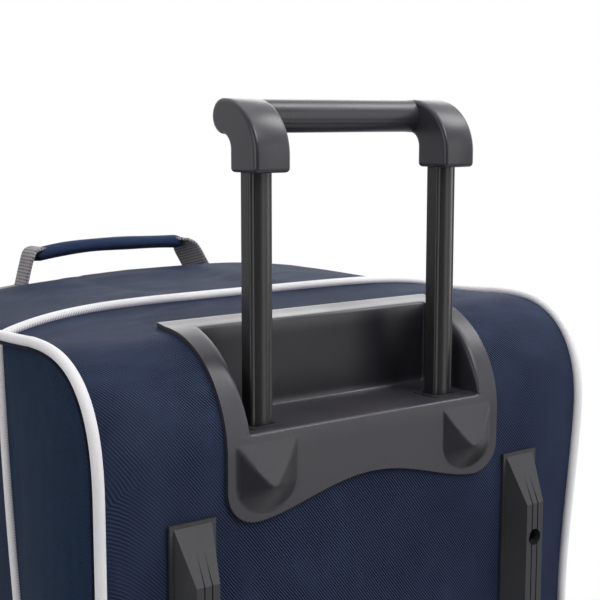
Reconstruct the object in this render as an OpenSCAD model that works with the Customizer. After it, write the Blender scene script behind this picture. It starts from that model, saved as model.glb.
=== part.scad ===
// Wheeled hockey equipment bag, standing upright on two wheels and two feet.
// +Z is up, -Y is the wheeled back that carries the trolley handle, +Y is the
// zipped front, X is across the bag. The origin is on the floor under the
// centre of the whole bag, rails and zip pulls included. All lengths are in
// millimetres.

/* [Bag body] */
// Width across the two side gussets
bag_w = 456; // [420:2:500]
// Depth from the back panel to the front panel
bag_d = 480; // [440:2:520]
// Height of the fabric body
bag_h = 928; // [880:2:980]
// Gap between the floor and the fabric bottom
base_gap = 22; // [20:1:26]
// Depth of the rear tub, from the back panel to the centre seam
tub_d = 159; // [150:1:180]
// How far the front half rises above the rear tub
front_rise = 14; // [12:1:20]
// Radius of the tub's top back edge
tub_top_r = 88; // [80:1:94]
// Radius of the front half's top front edge
front_top_r = 110; // [90:2:120]
// Thickness of the padded fabric walls
wall_t = 4; // [3.5:0.1:5]

/* [Main opening] */
// Width of the zipped flap
flap_w = 340; // [300:2:360]
// Height of the zipped flap
flap_h = 700; // [600:10:720]
// Height of the flap's lower edge above the floor
flap_z = 130; // [125:1:150]

/* [Trolley handle] */
// Half the distance between the two tubes
tube_x = 90; // [84:1:92]
// Distance from the back panel to the tube centres
tube_in = 22; // [21:0.5:24]
// Width of an inner tube, across the bag
tube_w = 20; // [18:0.5:20]
// Depth of an inner tube, front to back
tube_t = 18; // [16:0.5:18]
// Travel of the handle
travel = 184; // [120:1:187]
// Height of the grip from elbow foot to bar top
grip_h = 53; // [52:1:55]
// Diameter of the grip bar
bar_d = 26; // [24:0.5:27]
// Width of a grip elbow
elbow_w = 31; // [28:0.5:33]

/* [Handle housing] */
// Depth of the recess floor below the tub's top
recess_h = 66; // [64:1:70]
// Inner width of the recess
recess_w = 226; // [220:2:228]
// Depth of the recess, front to back
recess_d = 66; // [64:1:70]
// Width of the housing's flange plate
plate_w = 266; // [262:2:270]
// Wall thickness of the housing
cup_t = 3; // [2.5:0.1:3]

/* [Skid rails] */
// Half the distance between the two rails
rail_x = 162; // [160:1:170]
// Width of a rail at its base
rail_w = 38; // [34:1:40]
// How far a rail stands off the back panel
rail_h = 22; // [20:1:24]
// Width of the rail's flat land
rail_land = 19; // [16:1:22]

/* [Wheels and feet] */
// Wheel radius
wheel_r = 42; // [40:0.5:43]
// Wheel width
wheel_w = 28; // [26:1:30]
// Half the distance between the two wheels
wheel_x = 190; // [188:1:192]
// Height of the front feet
foot_h = 21.7; // [19.7:0.1:21.7]

/* [Hidden] */

$fn = 64;
far = 2000;
fit = 0.3;
pin_fit = 0.05;

pull_out = 16;
back_y = -(bag_d + pull_out - rail_h) / 2;
front_y = back_y + bag_d;
seam_y = back_y + tub_d;
top_z = base_gap + bag_h;
tub_top = top_z - front_rise;
floor_z = tub_top - recess_h;
side_x = bag_w / 2;
piping_t = 5;
tub_bottom_r = 30;
front_bottom_r = 70;
front_side_r = 60;

tube_y = back_y + tube_in;
tube_wall = 1.2;
tube_flat_y = tube_t / 2 - 2.4;
tube_band_w = 13;
tube_crown_r = 11;
socket_h = 26;
overlap_h = 120;
grip_z = floor_z + travel + 1;
outer_w = tube_w + 5;
outer_t = tube_t + 5;
outer_len = 400;
outer_z1 = floor_z - cup_t - 0.8;
bush_w = outer_w + 2;
bush_t = outer_t + 2;
grip_d = 57;
elbow_foot_h = 12;
elbow_foot_d = 33.5;
elbow_fillet_r = 10;

board_t = 3;
board_y = back_y + wall_t + fit;
board_half_w = 205;
housing_x0 = 158;
housing_y1 = back_y + 90;
housing_z1 = 120;
axle_y = back_y - rail_h + wheel_r;
axle_r = 4;
well_r = wheel_r + 6;
cheek_gap = wheel_w / 2 + 4;
cheek_t = 5;

plate_drop = 65;
plate_t = 3.5;
lobe_r = 25;
arch_r = 174;
arch_drop = 45;
boss_x = 98;
boss_w = 48;
boss_top = 6;
boss_bottom = 57;
housing_screw_x = 115;
housing_screw_z = floor_z - 44;

rail_z1 = floor_z - 55;
rail_z0 = housing_z1 + 8;
rail_ramp = 41;
rail_lip = 2.5;
rail_head_r = 7;
rail_shank_r = 2;
rail_head_depth = 12;
rail_screw_z = [for (i = [0:3]) rail_z1 - 70 - i * 180];

bracket_base = 5;
bracket_z = outer_z1 - outer_len - bracket_base;
bracket_h = 20;
bracket_screw_x = 40;

zip_w = 14;
zip_x = flap_w / 2 + 7;
zip_y = front_y + fit;
slider_z = flap_z + flap_h / 2;
slider_gap = [-14, 42];
pull_r = 2.5;
pull_y = front_y + pull_out - pull_r;
pull_len = 44;

grab_y = front_y - 65;
grab_z = top_z - 8;
grab_span = 96;
grab_rise = 21;
wrap_r = 10;
wrap_len = 165;
web_t = 3;
web_w = 30;
patch_w = 24;
side_handle_z = 500;
side_handle_y = front_y - 170;
side_wrap_len = 150;
side_wrap_r = 9;
side_fold = 3;
side_rise = 20;

foot_x = 150;
foot_y = front_y - 92;
foot_w = 56;
foot_d = 44;

// --- shared shapes -------------------------------------------------------

// Rectangle from (a0, b0) to (a1, b1) with its own radius at each corner,
// counter-clockwise from the low corner.
module corner_rect(a0, a1, b0, b1, r) {
    c = [[a0, b0, 1, 1], [a1, b0, -1, 1], [a1, b1, -1, -1], [a0, b1, 1, -1]];
    pts = [for (i = [0:3]) let (p = c[i], k = r[i], flip = i % 2 == 1)
        each (k <= 0 ? [[p[0], p[1]]]
            : flip ? [[p[0] + p[2] * k, p[1]], [p[0], p[1] + p[3] * k]]
            : [[p[0], p[1] + p[3] * k], [p[0] + p[2] * k, p[1]]])];
    intersection() {
        translate([a0, b0]) square([a1 - a0, b1 - b0]);
        union() {
            polygon(pts);
            for (i = [0:3])
                if (r[i] > 0)
                    translate([c[i][0] + c[i][2] * r[i], c[i][1] + c[i][3] * r[i]]) circle(r[i]);
        }
    }
}

// Extrudes a (Y, Z) outline along X.
module along_x(x0, x1) {
    translate([x0, 0, 0]) rotate([90, 0, 90]) linear_extrude(x1 - x0) children();
}

// Extrudes an (X, Z) outline along Y.
module along_y(y0, y1) {
    translate([0, y1, 0]) rotate([90, 0, 0]) linear_extrude(y1 - y0) children();
}

module box(x0, x1, y0, y1, z0, z1) {
    translate([x0, y0, z0]) cube([x1 - x0, y1 - y0, z1 - z0]);
}

// Mirrors a left-hand piece to the right when side is 1.
module on_side(side) {
    mirror([side > 0 ? 1 : 0, 0, 0]) children();
}

module cyl_x(r, x0, x1, y, z) {
    translate([x0, y, z]) rotate([0, 90, 0]) cylinder(r = r, h = x1 - x0);
}

module cyl_y(r, y0, y1, x, z) {
    translate([x, y1, z]) rotate([90, 0, 0]) cylinder(r = r, h = y1 - y0);
}

// --- fabric body ---------------------------------------------------------

// Side outline of the rear tub, moved inwards by g.
module tub_outline(g, y1) {
    corner_rect(back_y + g, y1, base_gap + g, tub_top - g,
        [tub_bottom_r - g, 0, 0, tub_top_r - g]);
}

// Corner of the tub that the wheel housing fills, grown by g.
module housing_corner(g) {
    box(-side_x - 10, -housing_x0 + g, back_y - 10, housing_y1 + g, -1, housing_z1 + g);
}

module rear_panel() {
    inner_x = side_x - wall_t - fit;
    color("#26314b") difference() {
        along_x(-inner_x, inner_x) difference() {
            tub_outline(0, seam_y - fit);
            tub_outline(wall_t, seam_y + 1);
        }
        box(-recess_w / 2 - 5, recess_w / 2 + 5, back_y - 1, back_y + recess_d + 6, floor_z - 6, far);
        for (side = [-1, 1]) {
            on_side(side) housing_corner(fit);
            for (z = rail_screw_z) cyl_y(rail_shank_r + 0.5, back_y - 1, back_y + 10, side * rail_x, z);
            cyl_y(2.5, back_y - 1, back_y + 10, side * housing_screw_x, housing_screw_z);
        }
    }
}

module side_gusset(side) {
    color("#232d45") on_side(side) difference() {
        along_x(-side_x, -side_x + wall_t) tub_outline(0, seam_y - fit);
        housing_corner(fit);
    }
}

// Solid with the outer form of the front half, moved inwards by g.
module front_form(g, y0) {
    intersection() {
        along_x(-side_x + g, side_x - g)
            corner_rect(y0, front_y - g, base_gap + g, top_z - g,
                [0, front_bottom_r - g, front_top_r - g, front_rise - g]);
        translate([0, 0, base_gap - 1]) linear_extrude(bag_h + 2)
            corner_rect(-side_x + g, side_x - g, y0 - 1, front_y - g,
                [0, 0, front_side_r - g, front_side_r - g]);
    }
}

// Outline of the zipped opening: square on the hinge side, round on the free side.
module flap_outline(g) {
    corner_rect(-flap_w / 2 - g, flap_w / 2 + g, flap_z - g, flap_z + flap_h + g,
        [0, 60 + g, 60 + g, 0]);
}

module front_shell() {
    color("#2b3752") difference() {
        front_form(0, seam_y + fit);
        front_form(wall_t, seam_y - 1);
        along_y(front_y - 10, front_y + 1) flap_outline(0);
        for (side = [-1, 1])
            translate([side * foot_x, foot_y, 0]) cylinder(r = 2.5, h = base_gap + 10);
    }
}

module main_flap() {
    color("#2b3752") along_y(front_y - wall_t, front_y - fit) flap_outline(-1);
}

// Covered cord along the centre seam, all the way round the bag.
module piping_centre() {
    color("#e8e8e6") along_y(seam_y - piping_t - fit, seam_y - fit) difference() {
        corner_rect(-side_x - piping_t, side_x + piping_t, base_gap - 3, tub_top + piping_t,
            [piping_t, piping_t, piping_t, piping_t]);
        square_outline(fit);
    }
}

module square_outline(g) {
    translate([-side_x - g, base_gap - g]) square([bag_w + 2 * g, tub_top - base_gap + 2 * g]);
}

// Covered cord along the edge between the back panel and a side gusset.
module piping_side(side) {
    color("#e8e8e6") on_side(side) difference() {
        along_x(-side_x - piping_t, -side_x + piping_t) difference() {
            tub_outline(-piping_t, seam_y - piping_t - 2 * fit);
            tub_outline(-fit, seam_y);
        }
        box(-far, far, back_y - 20, front_y, -1, housing_z1 + 2 * fit);
        box(-far, far, seam_y - 40, front_y, -1, floor_z);
    }
}

// --- stiffeners ----------------------------------------------------------

module back_board() {
    color("#8d8f90") difference() {
        box(-board_half_w, board_half_w, board_y, board_y + board_t, housing_z1 + 6,
            tub_top - tub_top_r - 4);
        for (side = [-1, 1]) {
            for (z = rail_screw_z) cyl_y(rail_shank_r + pin_fit, board_y - 1, board_y + 10, side * rail_x, z);
            cyl_y(2 + pin_fit, board_y - 1, board_y + 10, side * housing_screw_x, housing_screw_z);
            cyl_y(2 + pin_fit, board_y - 1, board_y + 10, side * bracket_screw_x, bracket_z + bracket_h / 2);
        }
    }
}

module base_board() {
    z0 = base_gap + wall_t + fit;
    color("#8d8f90") difference() {
        box(-side_x + 30, side_x - 30, housing_y1 + 6, front_y - front_bottom_r + 2, z0, z0 + board_t);
        for (side = [-1, 1])
            translate([side * foot_x, foot_y, 0]) cylinder(r = 2 + pin_fit, h = z0 + 10);
    }
}

module base_plate() {
    color("#303133") translate([0, 0, base_gap - 3.5]) linear_extrude(3.2)
        corner_rect(-side_x + 50, side_x - 50, seam_y + 6, foot_y - foot_d / 2 - 6, [20, 20, 20, 20]);
}

// --- front zipper --------------------------------------------------------

module main_zip_tape() {
    color("#1f2738") along_y(zip_y, zip_y + 1.6) difference() {
        flap_outline(zip_w);
        flap_outline(0.5);
        translate([-flap_w, flap_z - 40]) square([flap_w / 2 + 20, flap_h + 80]);
    }
}

// dir is 1 for the upper slider and -1 for the lower one.
module zip_slider(dir) {
    z = slider_z + slider_gap[dir > 0 ? 1 : 0];
    color("#9a9c9f") {
        box(zip_x - 5.5, zip_x + 5.5, zip_y + 1.9, zip_y + 6.5, z - 8, z + 8);
        box(zip_x - 1.6, zip_x + 1.6, zip_y + 6.4, pull_y + 1.2, z - 3, z + 3);
        cyl_x(1.2, zip_x - 5, zip_x + 5, pull_y, z);
    }
}

module zip_pull(dir) {
    z = slider_z + slider_gap[dir > 0 ? 1 : 0];
    tip = z - pull_len;
    color("#2b2d31") difference() {
        union() {
            cyl_x(pull_r, zip_x - 5, zip_x - 1.9, pull_y, z);
            cyl_x(pull_r, zip_x + 1.9, zip_x + 5, pull_y, z);
            box(zip_x - 5, zip_x - 1.9, pull_y - 1.2, pull_y + 1.2, z - 8, z - 1.5);
            box(zip_x + 1.9, zip_x + 5, pull_y - 1.2, pull_y + 1.2, z - 8, z - 1.5);
            box(zip_x - 5, zip_x + 5, pull_y - 1.2, pull_y + 1.2, tip, z - 7);
        }
        cyl_x(1.2 + pin_fit, zip_x - 6, zip_x + 6, pull_y, z);
    }
}

// --- handle housing ------------------------------------------------------

// Lower edge of the flange plate: two lobes with an arch between them.
module plate_outline() {
    difference() {
        corner_rect(-plate_w / 2, plate_w / 2, floor_z - plate_drop, far, [lobe_r, lobe_r, 0, 0]);
        translate([0, floor_z - arch_drop - arch_r]) circle(arch_r, $fn = 128);
    }
}

// Raised ramp under each tube, level with the skid rails at its lower end.
module housing_boss(side) {
    z1 = floor_z - boss_top;
    z0 = floor_z - boss_bottom;
    intersection() {
        along_x(side * boss_x - boss_w / 2, side * boss_x + boss_w / 2)
            polygon([[back_y - fit, z1], [back_y - fit, z0], [back_y - rail_h, z0 + 6],
                [back_y - rail_h, z0 + 12], [back_y - plate_t, z1]]);
        along_y(back_y - rail_h - 1, back_y)
            translate([side * boss_x, 0])
                corner_rect(-boss_w / 2, boss_w / 2, z0, z1, [18, 18, 6, 6]);
    }
}

module handle_housing() {
    inner = recess_w / 2;
    deep_y = back_y + recess_d;
    color("#3b3c3e") difference() {
        union() {
            intersection() {
                along_x(-plate_w / 2, plate_w / 2) difference() {
                    tub_outline(-plate_t, deep_y + 24);
                    tub_outline(-fit, deep_y + 25);
                }
                along_y(back_y - 40, far) plate_outline();
            }
            intersection() {
                along_x(-inner - cup_t, inner + cup_t) tub_outline(-plate_t, deep_y + cup_t);
                box(-inner - cup_t, inner + cup_t, back_y - 10, far, floor_z - cup_t, far);
            }
            for (side = [-1, 1]) housing_boss(side);
        }
        box(-inner, inner, back_y - 40, deep_y, floor_z, far);
        for (side = [-1, 1]) {
            tube_block(side, bush_w + 2 * pin_fit, bush_t + 2 * pin_fit, floor_z - 10, floor_z + 10);
            cyl_y(1.9, back_y - 7, back_y + 5, side * housing_screw_x, housing_screw_z);
        }
    }
}

module housing_screws() {
    head_y = board_y + board_t + 0.1;
    color("#6f7275") for (side = [-1, 1]) {
        cyl_y(1.85, back_y - 6.5, head_y + 0.5, side * housing_screw_x, housing_screw_z);
        cyl_y(4, head_y, head_y + 2.4, side * housing_screw_x, housing_screw_z);
    }
}

// --- trolley tubes -------------------------------------------------------

// Rounded bar of size w x t on the tube's centre line.
module tube_block(side, w, t, z0, z1, r = 3) {
    translate([side * tube_x, tube_y, z0]) linear_extrude(z1 - z0)
        corner_rect(-w / 2, w / 2, -t / 2, t / 2, [r, r, r, r]);
}

module guide_bush(side) {
    color("#1d1d1f") difference() {
        union() {
            tube_block(side, bush_w, bush_t, floor_z - cup_t - 0.4, floor_z + 0.6);
            tube_block(side, bush_w + 3, bush_t + 3, floor_z + 0.1, floor_z + 0.7);
        }
        tube_block(side, tube_w + 0.8, tube_t + 0.8, floor_z - 20, floor_z + 20);
    }
}

module outer_tube(side) {
    color("#b9bcc0") difference() {
        tube_block(side, outer_w, outer_t, outer_z1 - outer_len, outer_z1);
        tube_block(side, outer_w - 2 * tube_wall, outer_t - 2 * tube_wall, 0, far, 2);
    }
}

// Half of the tube's outline: a flat strip with a crowned band along its middle.
module tube_crown() {
    intersection() {
        translate([0, tube_t / 2 - tube_crown_r]) circle(tube_crown_r);
        translate([-tube_band_w / 2, 0]) square([tube_band_w, tube_t / 2]);
    }
}

module inner_tube(side) {
    color("#232426") difference() {
        translate([side * tube_x, tube_y, floor_z - overlap_h])
            linear_extrude(grip_z + socket_h - floor_z + overlap_h) {
                corner_rect(-tube_w / 2, tube_w / 2, -tube_flat_y, tube_flat_y, [2, 2, 2, 2]);
                tube_crown();
                mirror([0, 1]) tube_crown();
            }
        tube_block(side, tube_w - 2 * tube_wall, 2 * (tube_flat_y - tube_wall), 0, far, 1.2);
    }
}

module tube_plug(side) {
    z = floor_z - overlap_h;
    color("#4a4c4e") {
        tube_block(side, outer_w - 2 * tube_wall - 0.6, outer_t - 2 * tube_wall - 0.6, z - 14, z - 0.1);
        tube_block(side, tube_w - 2 * tube_wall - 0.2, 2 * (tube_flat_y - tube_wall) - 0.2, z - 1, z + 20, 1.2);
    }
}

module tube_bracket() {
    color("#4a4c4e") difference() {
        box(-tube_x - 20, tube_x + 20, board_y + board_t + 0.1, tube_y + outer_t / 2 + 4,
            bracket_z, bracket_z + bracket_h);
        for (side = [-1, 1]) {
            tube_block(side, outer_w + 0.2, outer_t + 0.2, bracket_z + bracket_base - 0.1, bracket_z + 60);
            cyl_y(2.4, board_y, 0, side * bracket_screw_x, bracket_z + bracket_h / 2);
            cyl_y(5, tube_y, 0, side * bracket_screw_x, bracket_z + bracket_h / 2);
        }
    }
}

module bracket_screws() {
    color("#6f7275") for (side = [-1, 1]) {
        cyl_y(2, board_y + 0.5, tube_y + 0.6, side * bracket_screw_x, bracket_z + bracket_h / 2);
        cyl_y(4.2, tube_y + 0.1, tube_y + 3, side * bracket_screw_x, bracket_z + bracket_h / 2);
    }
}

// --- trolley grip --------------------------------------------------------

// Side outline of an elbow: upright foot, quarter-round back, round bar end.
module elbow_outline() {
    bar_y = back_y + grip_d - bar_d / 2;
    under_z = grip_z + grip_h - bar_d;
    fillet_y = back_y + elbow_foot_d + elbow_fillet_r;
    difference() {
        corner_rect(back_y, bar_y, grip_z, grip_z + grip_h, [0, 0, 0, grip_h - elbow_foot_h]);
        translate([back_y + elbow_foot_d, grip_z - 1]) square([grip_d, under_z - elbow_fillet_r - grip_z + 1]);
        translate([fillet_y, grip_z - 1]) square([grip_d, under_z - grip_z + 1]);
        translate([fillet_y, under_z - elbow_fillet_r]) circle(elbow_fillet_r);
    }
    translate([bar_y, under_z + bar_d / 2]) circle(bar_d / 2);
}

module handle_grip() {
    bar_y = back_y + grip_d - bar_d / 2;
    color("#39393b") difference() {
        union() {
            for (side = [-1, 1])
                along_x(side * tube_x - elbow_w / 2, side * tube_x + elbow_w / 2) elbow_outline();
            cyl_x(bar_d / 2 - 0.5, -tube_x, tube_x, bar_y, grip_z + grip_h - bar_d / 2);
        }
        for (side = [-1, 1])
            tube_block(side, tube_w + 0.2, tube_t + 0.2, grip_z - 1, grip_z + socket_h + 0.2);
    }
}

// --- skid rails ----------------------------------------------------------

module skid_rail(side) {
    y = back_y - fit;
    out = back_y - rail_h;
    color("#333436") difference() {
        union() {
            box(side * rail_x - rail_w / 2, side * rail_x + rail_w / 2, y - rail_lip, y, rail_z0, rail_z1);
            intersection() {
                translate([side * rail_x, 0, rail_z0]) linear_extrude(rail_z1 - rail_z0)
                    polygon([[-rail_w / 2 + 3, y - 1], [rail_w / 2 - 3, y - 1],
                        [rail_land / 2, out], [-rail_land / 2, out]]);
                along_x(side * rail_x - rail_w, side * rail_x + rail_w)
                    polygon([[y - 1, rail_z0], [out, rail_z0 + rail_ramp],
                        [out, rail_z1 - rail_ramp], [y - 1, rail_z1]]);
            }
        }
        for (z = rail_screw_z) {
            cyl_y(rail_head_r, out - 1, out + rail_head_depth, side * rail_x, z);
            cyl_y(rail_shank_r + 0.4, out, y + 1, side * rail_x, z);
        }
        // Two thin grooves that run up the ramps and along the land.
        for (k = [-1, 1])
            along_x(side * rail_x + k * rail_land / 6 - 0.6, side * rail_x + k * rail_land / 6 + 0.6)
                polygon([[out - 2, rail_z0], [y - rail_lip - 2, rail_z0 + 6], [out + 0.8, rail_z0 + rail_ramp],
                    [out + 0.8, rail_z1 - rail_ramp], [y - rail_lip - 2, rail_z1 - 6], [out - 2, rail_z1]]);
    }
}

module rail_screws() {
    head_y = back_y - rail_h + rail_head_depth - 0.1;
    end_y = board_y + board_t + 6;
    color("#77797c") for (side = [-1, 1], z = rail_screw_z) {
        cyl_y(5.5, head_y - 3, head_y, side * rail_x, z);
        cyl_y(rail_shank_r, head_y - 0.5, end_y, side * rail_x, z);
    }
}

module rail_nuts() {
    y = board_y + board_t + 0.1;
    color("#8f9295") for (side = [-1, 1], z = rail_screw_z) difference() {
        translate([side * rail_x, y + 3.2, z]) rotate([90, 0, 0]) cylinder(r = 4, h = 3.2, $fn = 6);
        cyl_y(rail_shank_r + pin_fit, y - 1, y + 5, side * rail_x, z);
    }
}

// --- wheels --------------------------------------------------------------

// Outline of the corner moulding, with the tub's rounded lower back edge.
module corner_outline(g) {
    corner_rect(back_y + g, housing_y1 - g, base_gap + g, housing_z1 - g, [tub_bottom_r - g, 0, 0, 0]);
}

// Outline of a cheek: a disc over the wheel, cut off level with the bag's bottom and back.
module cheek_outline() {
    intersection() {
        translate([axle_y, wheel_r]) circle(well_r + wall_t);
        corner_outline(0);
    }
}

// Moulded corner that carries one wheel between two cheeks.
module wheel_housing(side) {
    inner = wheel_x - cheek_gap;
    outer = wheel_x + cheek_gap;
    color("#303133") on_side(side) difference() {
        union() {
            along_x(-outer - cheek_t, -housing_x0) difference() {
                corner_outline(0);
                corner_outline(wall_t);
            }
            along_x(-side_x, -outer - cheek_t) corner_outline(0);
            along_x(-outer - cheek_t, -inner + cheek_t) cheek_outline();
        }
        along_x(-outer, -inner) union() {
            translate([axle_y, wheel_r]) circle(well_r);
            translate([back_y - 40, 0]) square([axle_y + well_r - back_y + 40, wheel_r]);
        }
        cyl_x(axle_r + pin_fit, -side_x - 1, -housing_x0 + 10, axle_y, wheel_r);
        cyl_x(9, -side_x - 1, -outer - cheek_t, axle_y, wheel_r);
    }
}

module wheel_tyre(side) {
    edge = 7;
    half = wheel_w / 2;
    rim_r = wheel_r - 9;
    color("#1a1a1b") translate([side * wheel_x, axle_y, wheel_r]) rotate([0, 90, 0]) rotate_extrude($fn = 96) {
        translate([rim_r, 0]) corner_rect(0, wheel_r - rim_r, -half, half, [0, edge, edge, 0]);
    }
}

module wheel_hub(side) {
    rim_r = wheel_r - 9 - 0.05;
    bearing_r = 11.02;
    color("#4b4d50") translate([side * wheel_x, axle_y, wheel_r]) rotate([0, 90, 0]) difference() {
        union() {
            difference() {
                cylinder(r = rim_r, h = wheel_w - 2, center = true, $fn = 96);
                for (k = [-1, 1])
                    translate([0, 0, k * wheel_w / 2]) cylinder(r = rim_r - 4, h = wheel_w - 10, center = true, $fn = 96);
            }
            cylinder(r = 15, h = wheel_w - 2, center = true);
            for (a = [0:60:300]) rotate([0, 0, a]) translate([13, -2, -wheel_w / 2 + 3]) cube([rim_r - 15, 4, wheel_w - 6]);
        }
        for (k = [-1, 1]) translate([0, 0, k * (wheel_w / 2 - 4.5)]) cylinder(r = bearing_r, h = 7.2, center = true);
        cylinder(r = 6, h = wheel_w + 2, center = true);
    }
}

module wheel_bearings(side) {
    color("#a9abae") translate([side * wheel_x, axle_y, wheel_r]) rotate([0, 90, 0])
        for (k = [-1, 1]) translate([0, 0, k * (wheel_w / 2 - 4.5)]) difference() {
            cylinder(r = 11, h = 7, center = true);
            cylinder(r = axle_r + pin_fit, h = 8, center = true);
            for (m = [-1, 1]) translate([0, 0, m * 3.4]) difference() {
                cylinder(r = 9, h = 1, center = true);
                cylinder(r = 6, h = 2, center = true);
            }
        }
}

module axle(side) {
    outer = wheel_x + cheek_gap + cheek_t;
    inner = wheel_x - cheek_gap - cheek_t;
    color("#8f9295") on_side(side) difference() {
        union() {
            cyl_x(axle_r, -outer - 0.5, -inner + 4, axle_y, wheel_r);
            cyl_x(7, -outer - 2.8, -outer - 0.1, axle_y, wheel_r);
        }
        difference() {
            cyl_x(axle_r + 1, -inner + 1.2, -inner + 2.2, axle_y, wheel_r);
            cyl_x(axle_r - 0.8, -inner, -inner + 3, axle_y, wheel_r);
        }
    }
}

module axle_clips() {
    inner = wheel_x - cheek_gap - cheek_t;
    color("#55585b") for (side = [-1, 1]) on_side(side) difference() {
        cyl_x(6.5, -inner + 1.25, -inner + 2.15, axle_y, wheel_r);
        cyl_x(axle_r - 0.8 + pin_fit, -inner, -inner + 3, axle_y, wheel_r);
        box(-inner, -inner + 3, axle_y - 2.2, axle_y + 2.2, 0, wheel_r);
    }
}

// --- feet ----------------------------------------------------------------

module front_foot(side) {
    color("#1f1f20") translate([side * foot_x, foot_y, 0]) difference() {
        union() {
            translate([0, 0, 4]) linear_extrude(foot_h - 4)
                corner_rect(-foot_w / 2, foot_w / 2, -foot_d / 2, foot_d / 2, [12, 12, 12, 12]);
            linear_extrude(4.1)
                corner_rect(-foot_w / 2 + 3, foot_w / 2 - 3, -foot_d / 2 + 3, foot_d / 2 - 3, [9, 9, 9, 9]);
        }
        translate([0, 0, -1]) cylinder(r = 6, h = 11);
        translate([0, 0, 5]) cylinder(r = 2.3, h = 20);
    }
}

module foot_screws() {
    color("#77797c") for (side = [-1, 1]) translate([side * foot_x, foot_y, 0]) {
        translate([0, 0, 6.9]) cylinder(r = 4.5, h = 3);
        translate([0, 0, 9.5]) cylinder(r = 2, h = base_gap + wall_t + board_t - 8);
    }
}

// --- carrying handles ----------------------------------------------------

module grab_handle_wrap() {
    color("#27324d") cyl_x(wrap_r, -wrap_len / 2, wrap_len / 2, grab_y, grab_z + grab_rise);
}

// Outline of a webbing leg that narrows to its fold line at (0, 0).
module leg_outline(rise, half_w) {
    polygon([[-2, 1.5], [2, 1.5], [half_w, rise], [-half_w, rise]]);
}

// Webbing leg at each end of the wrap, from the wrap down to its fold line.
module grab_handle_webbing() {
    color("#8a8896") for (side = [-1, 1]) on_side(side)
        translate([0, grab_y, grab_z]) along_x(-grab_span - 4, -wrap_len / 2 - fit)
            leg_outline(grab_rise + 3, web_w / 2 - 2);
}

// Sewn end patches beside the legs, flat on the fabric.
module grab_handle_patches() {
    color("#8a8896") for (side = [-1, 1]) on_side(side)
        box(-grab_span - patch_w - 5, -grab_span - 5, grab_y - web_w / 2, grab_y - web_w / 2 + 12,
            grab_surface_z() + 0.2, grab_surface_z() + 1.6);
}

// Height of the front half's top edge under the rear side of the handle.
function grab_surface_z() = let (dy = max(0, grab_y - web_w / 2 - (front_y - front_top_r)))
    top_z - front_top_r + sqrt(front_top_r * front_top_r - dy * dy);

module side_handle_wrap(side) {
    color("#27324d") translate([side * (side_x + side_fold + side_rise), side_handle_y, side_handle_z - side_wrap_len / 2])
        cylinder(r = side_wrap_r, h = side_wrap_len);
}

module side_handle_webbing(side) {
    z0 = side_wrap_len / 2 + fit;
    color("#8a8896") on_side(side) for (k = [-1, 1])
        translate([-side_x - side_fold, side_handle_y, side_handle_z + (k > 0 ? z0 : -z0 - 16)])
            rotate([0, 0, 90]) linear_extrude(16) leg_outline(side_rise + 2, 12);
}

module side_handle_patches() {
    z0 = side_wrap_len / 2 + 24;
    color("#8a8896") for (side = [-1, 1], k = [-1, 1]) on_side(side)
        box(-side_x - 1.6, -side_x - 0.2, side_handle_y - 14, side_handle_y + 14,
            side_handle_z + (k > 0 ? z0 : -z0 - patch_w), side_handle_z + (k > 0 ? z0 + patch_w : -z0));
}

// --- nodes ---------------------------------------------------------------

rear_panel();
side_gusset(-1);  // side_gusset_left
side_gusset(1);  // side_gusset_right
front_shell();
main_flap();
piping_centre();
piping_side(-1);  // piping_left
piping_side(1);  // piping_right
back_board();
base_board();
base_plate();
main_zip_tape();
zip_slider(1);  // zip_slider_upper
zip_slider(-1);  // zip_slider_lower
zip_pull(1);  // zip_pull_upper
zip_pull(-1);  // zip_pull_lower
handle_housing();
housing_screws();
guide_bush(-1);  // guide_bush_left
guide_bush(1);  // guide_bush_right
outer_tube(-1);  // outer_tube_left
outer_tube(1);  // outer_tube_right
tube_bracket();
bracket_screws();
handle_grip();
inner_tube(-1);  // inner_tube_left
inner_tube(1);  // inner_tube_right
tube_plug(-1);  // tube_plug_left
tube_plug(1);  // tube_plug_right
skid_rail(-1);  // skid_rail_left
skid_rail(1);  // skid_rail_right
rail_screws();
rail_nuts();
wheel_housing(-1);  // wheel_housing_left
wheel_housing(1);  // wheel_housing_right
wheel_tyre(-1);  // wheel_tyre_left
wheel_tyre(1);  // wheel_tyre_right
wheel_hub(-1);  // wheel_hub_left
wheel_hub(1);  // wheel_hub_right
wheel_bearings(-1);  // wheel_bearings_left
wheel_bearings(1);  // wheel_bearings_right
axle(-1);  // axle_left
axle(1);  // axle_right
axle_clips();
front_foot(-1);  // front_foot_left
front_foot(1);  // front_foot_right
foot_screws();
grab_handle_wrap();
grab_handle_webbing();
grab_handle_patches();
side_handle_wrap(-1);  // side_handle_left_wrap
side_handle_webbing(-1);  // side_handle_left_webbing
side_handle_wrap(1);  // side_handle_right_wrap
side_handle_webbing(1);  // side_handle_right_webbing
side_handle_patches();
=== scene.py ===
"""Looks of the wheeled hockey bag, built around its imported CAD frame.

All lengths are metres in the CAD frame: +Z up, -Y the wheeled back, +Y the zipped front.
"""

import math

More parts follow.
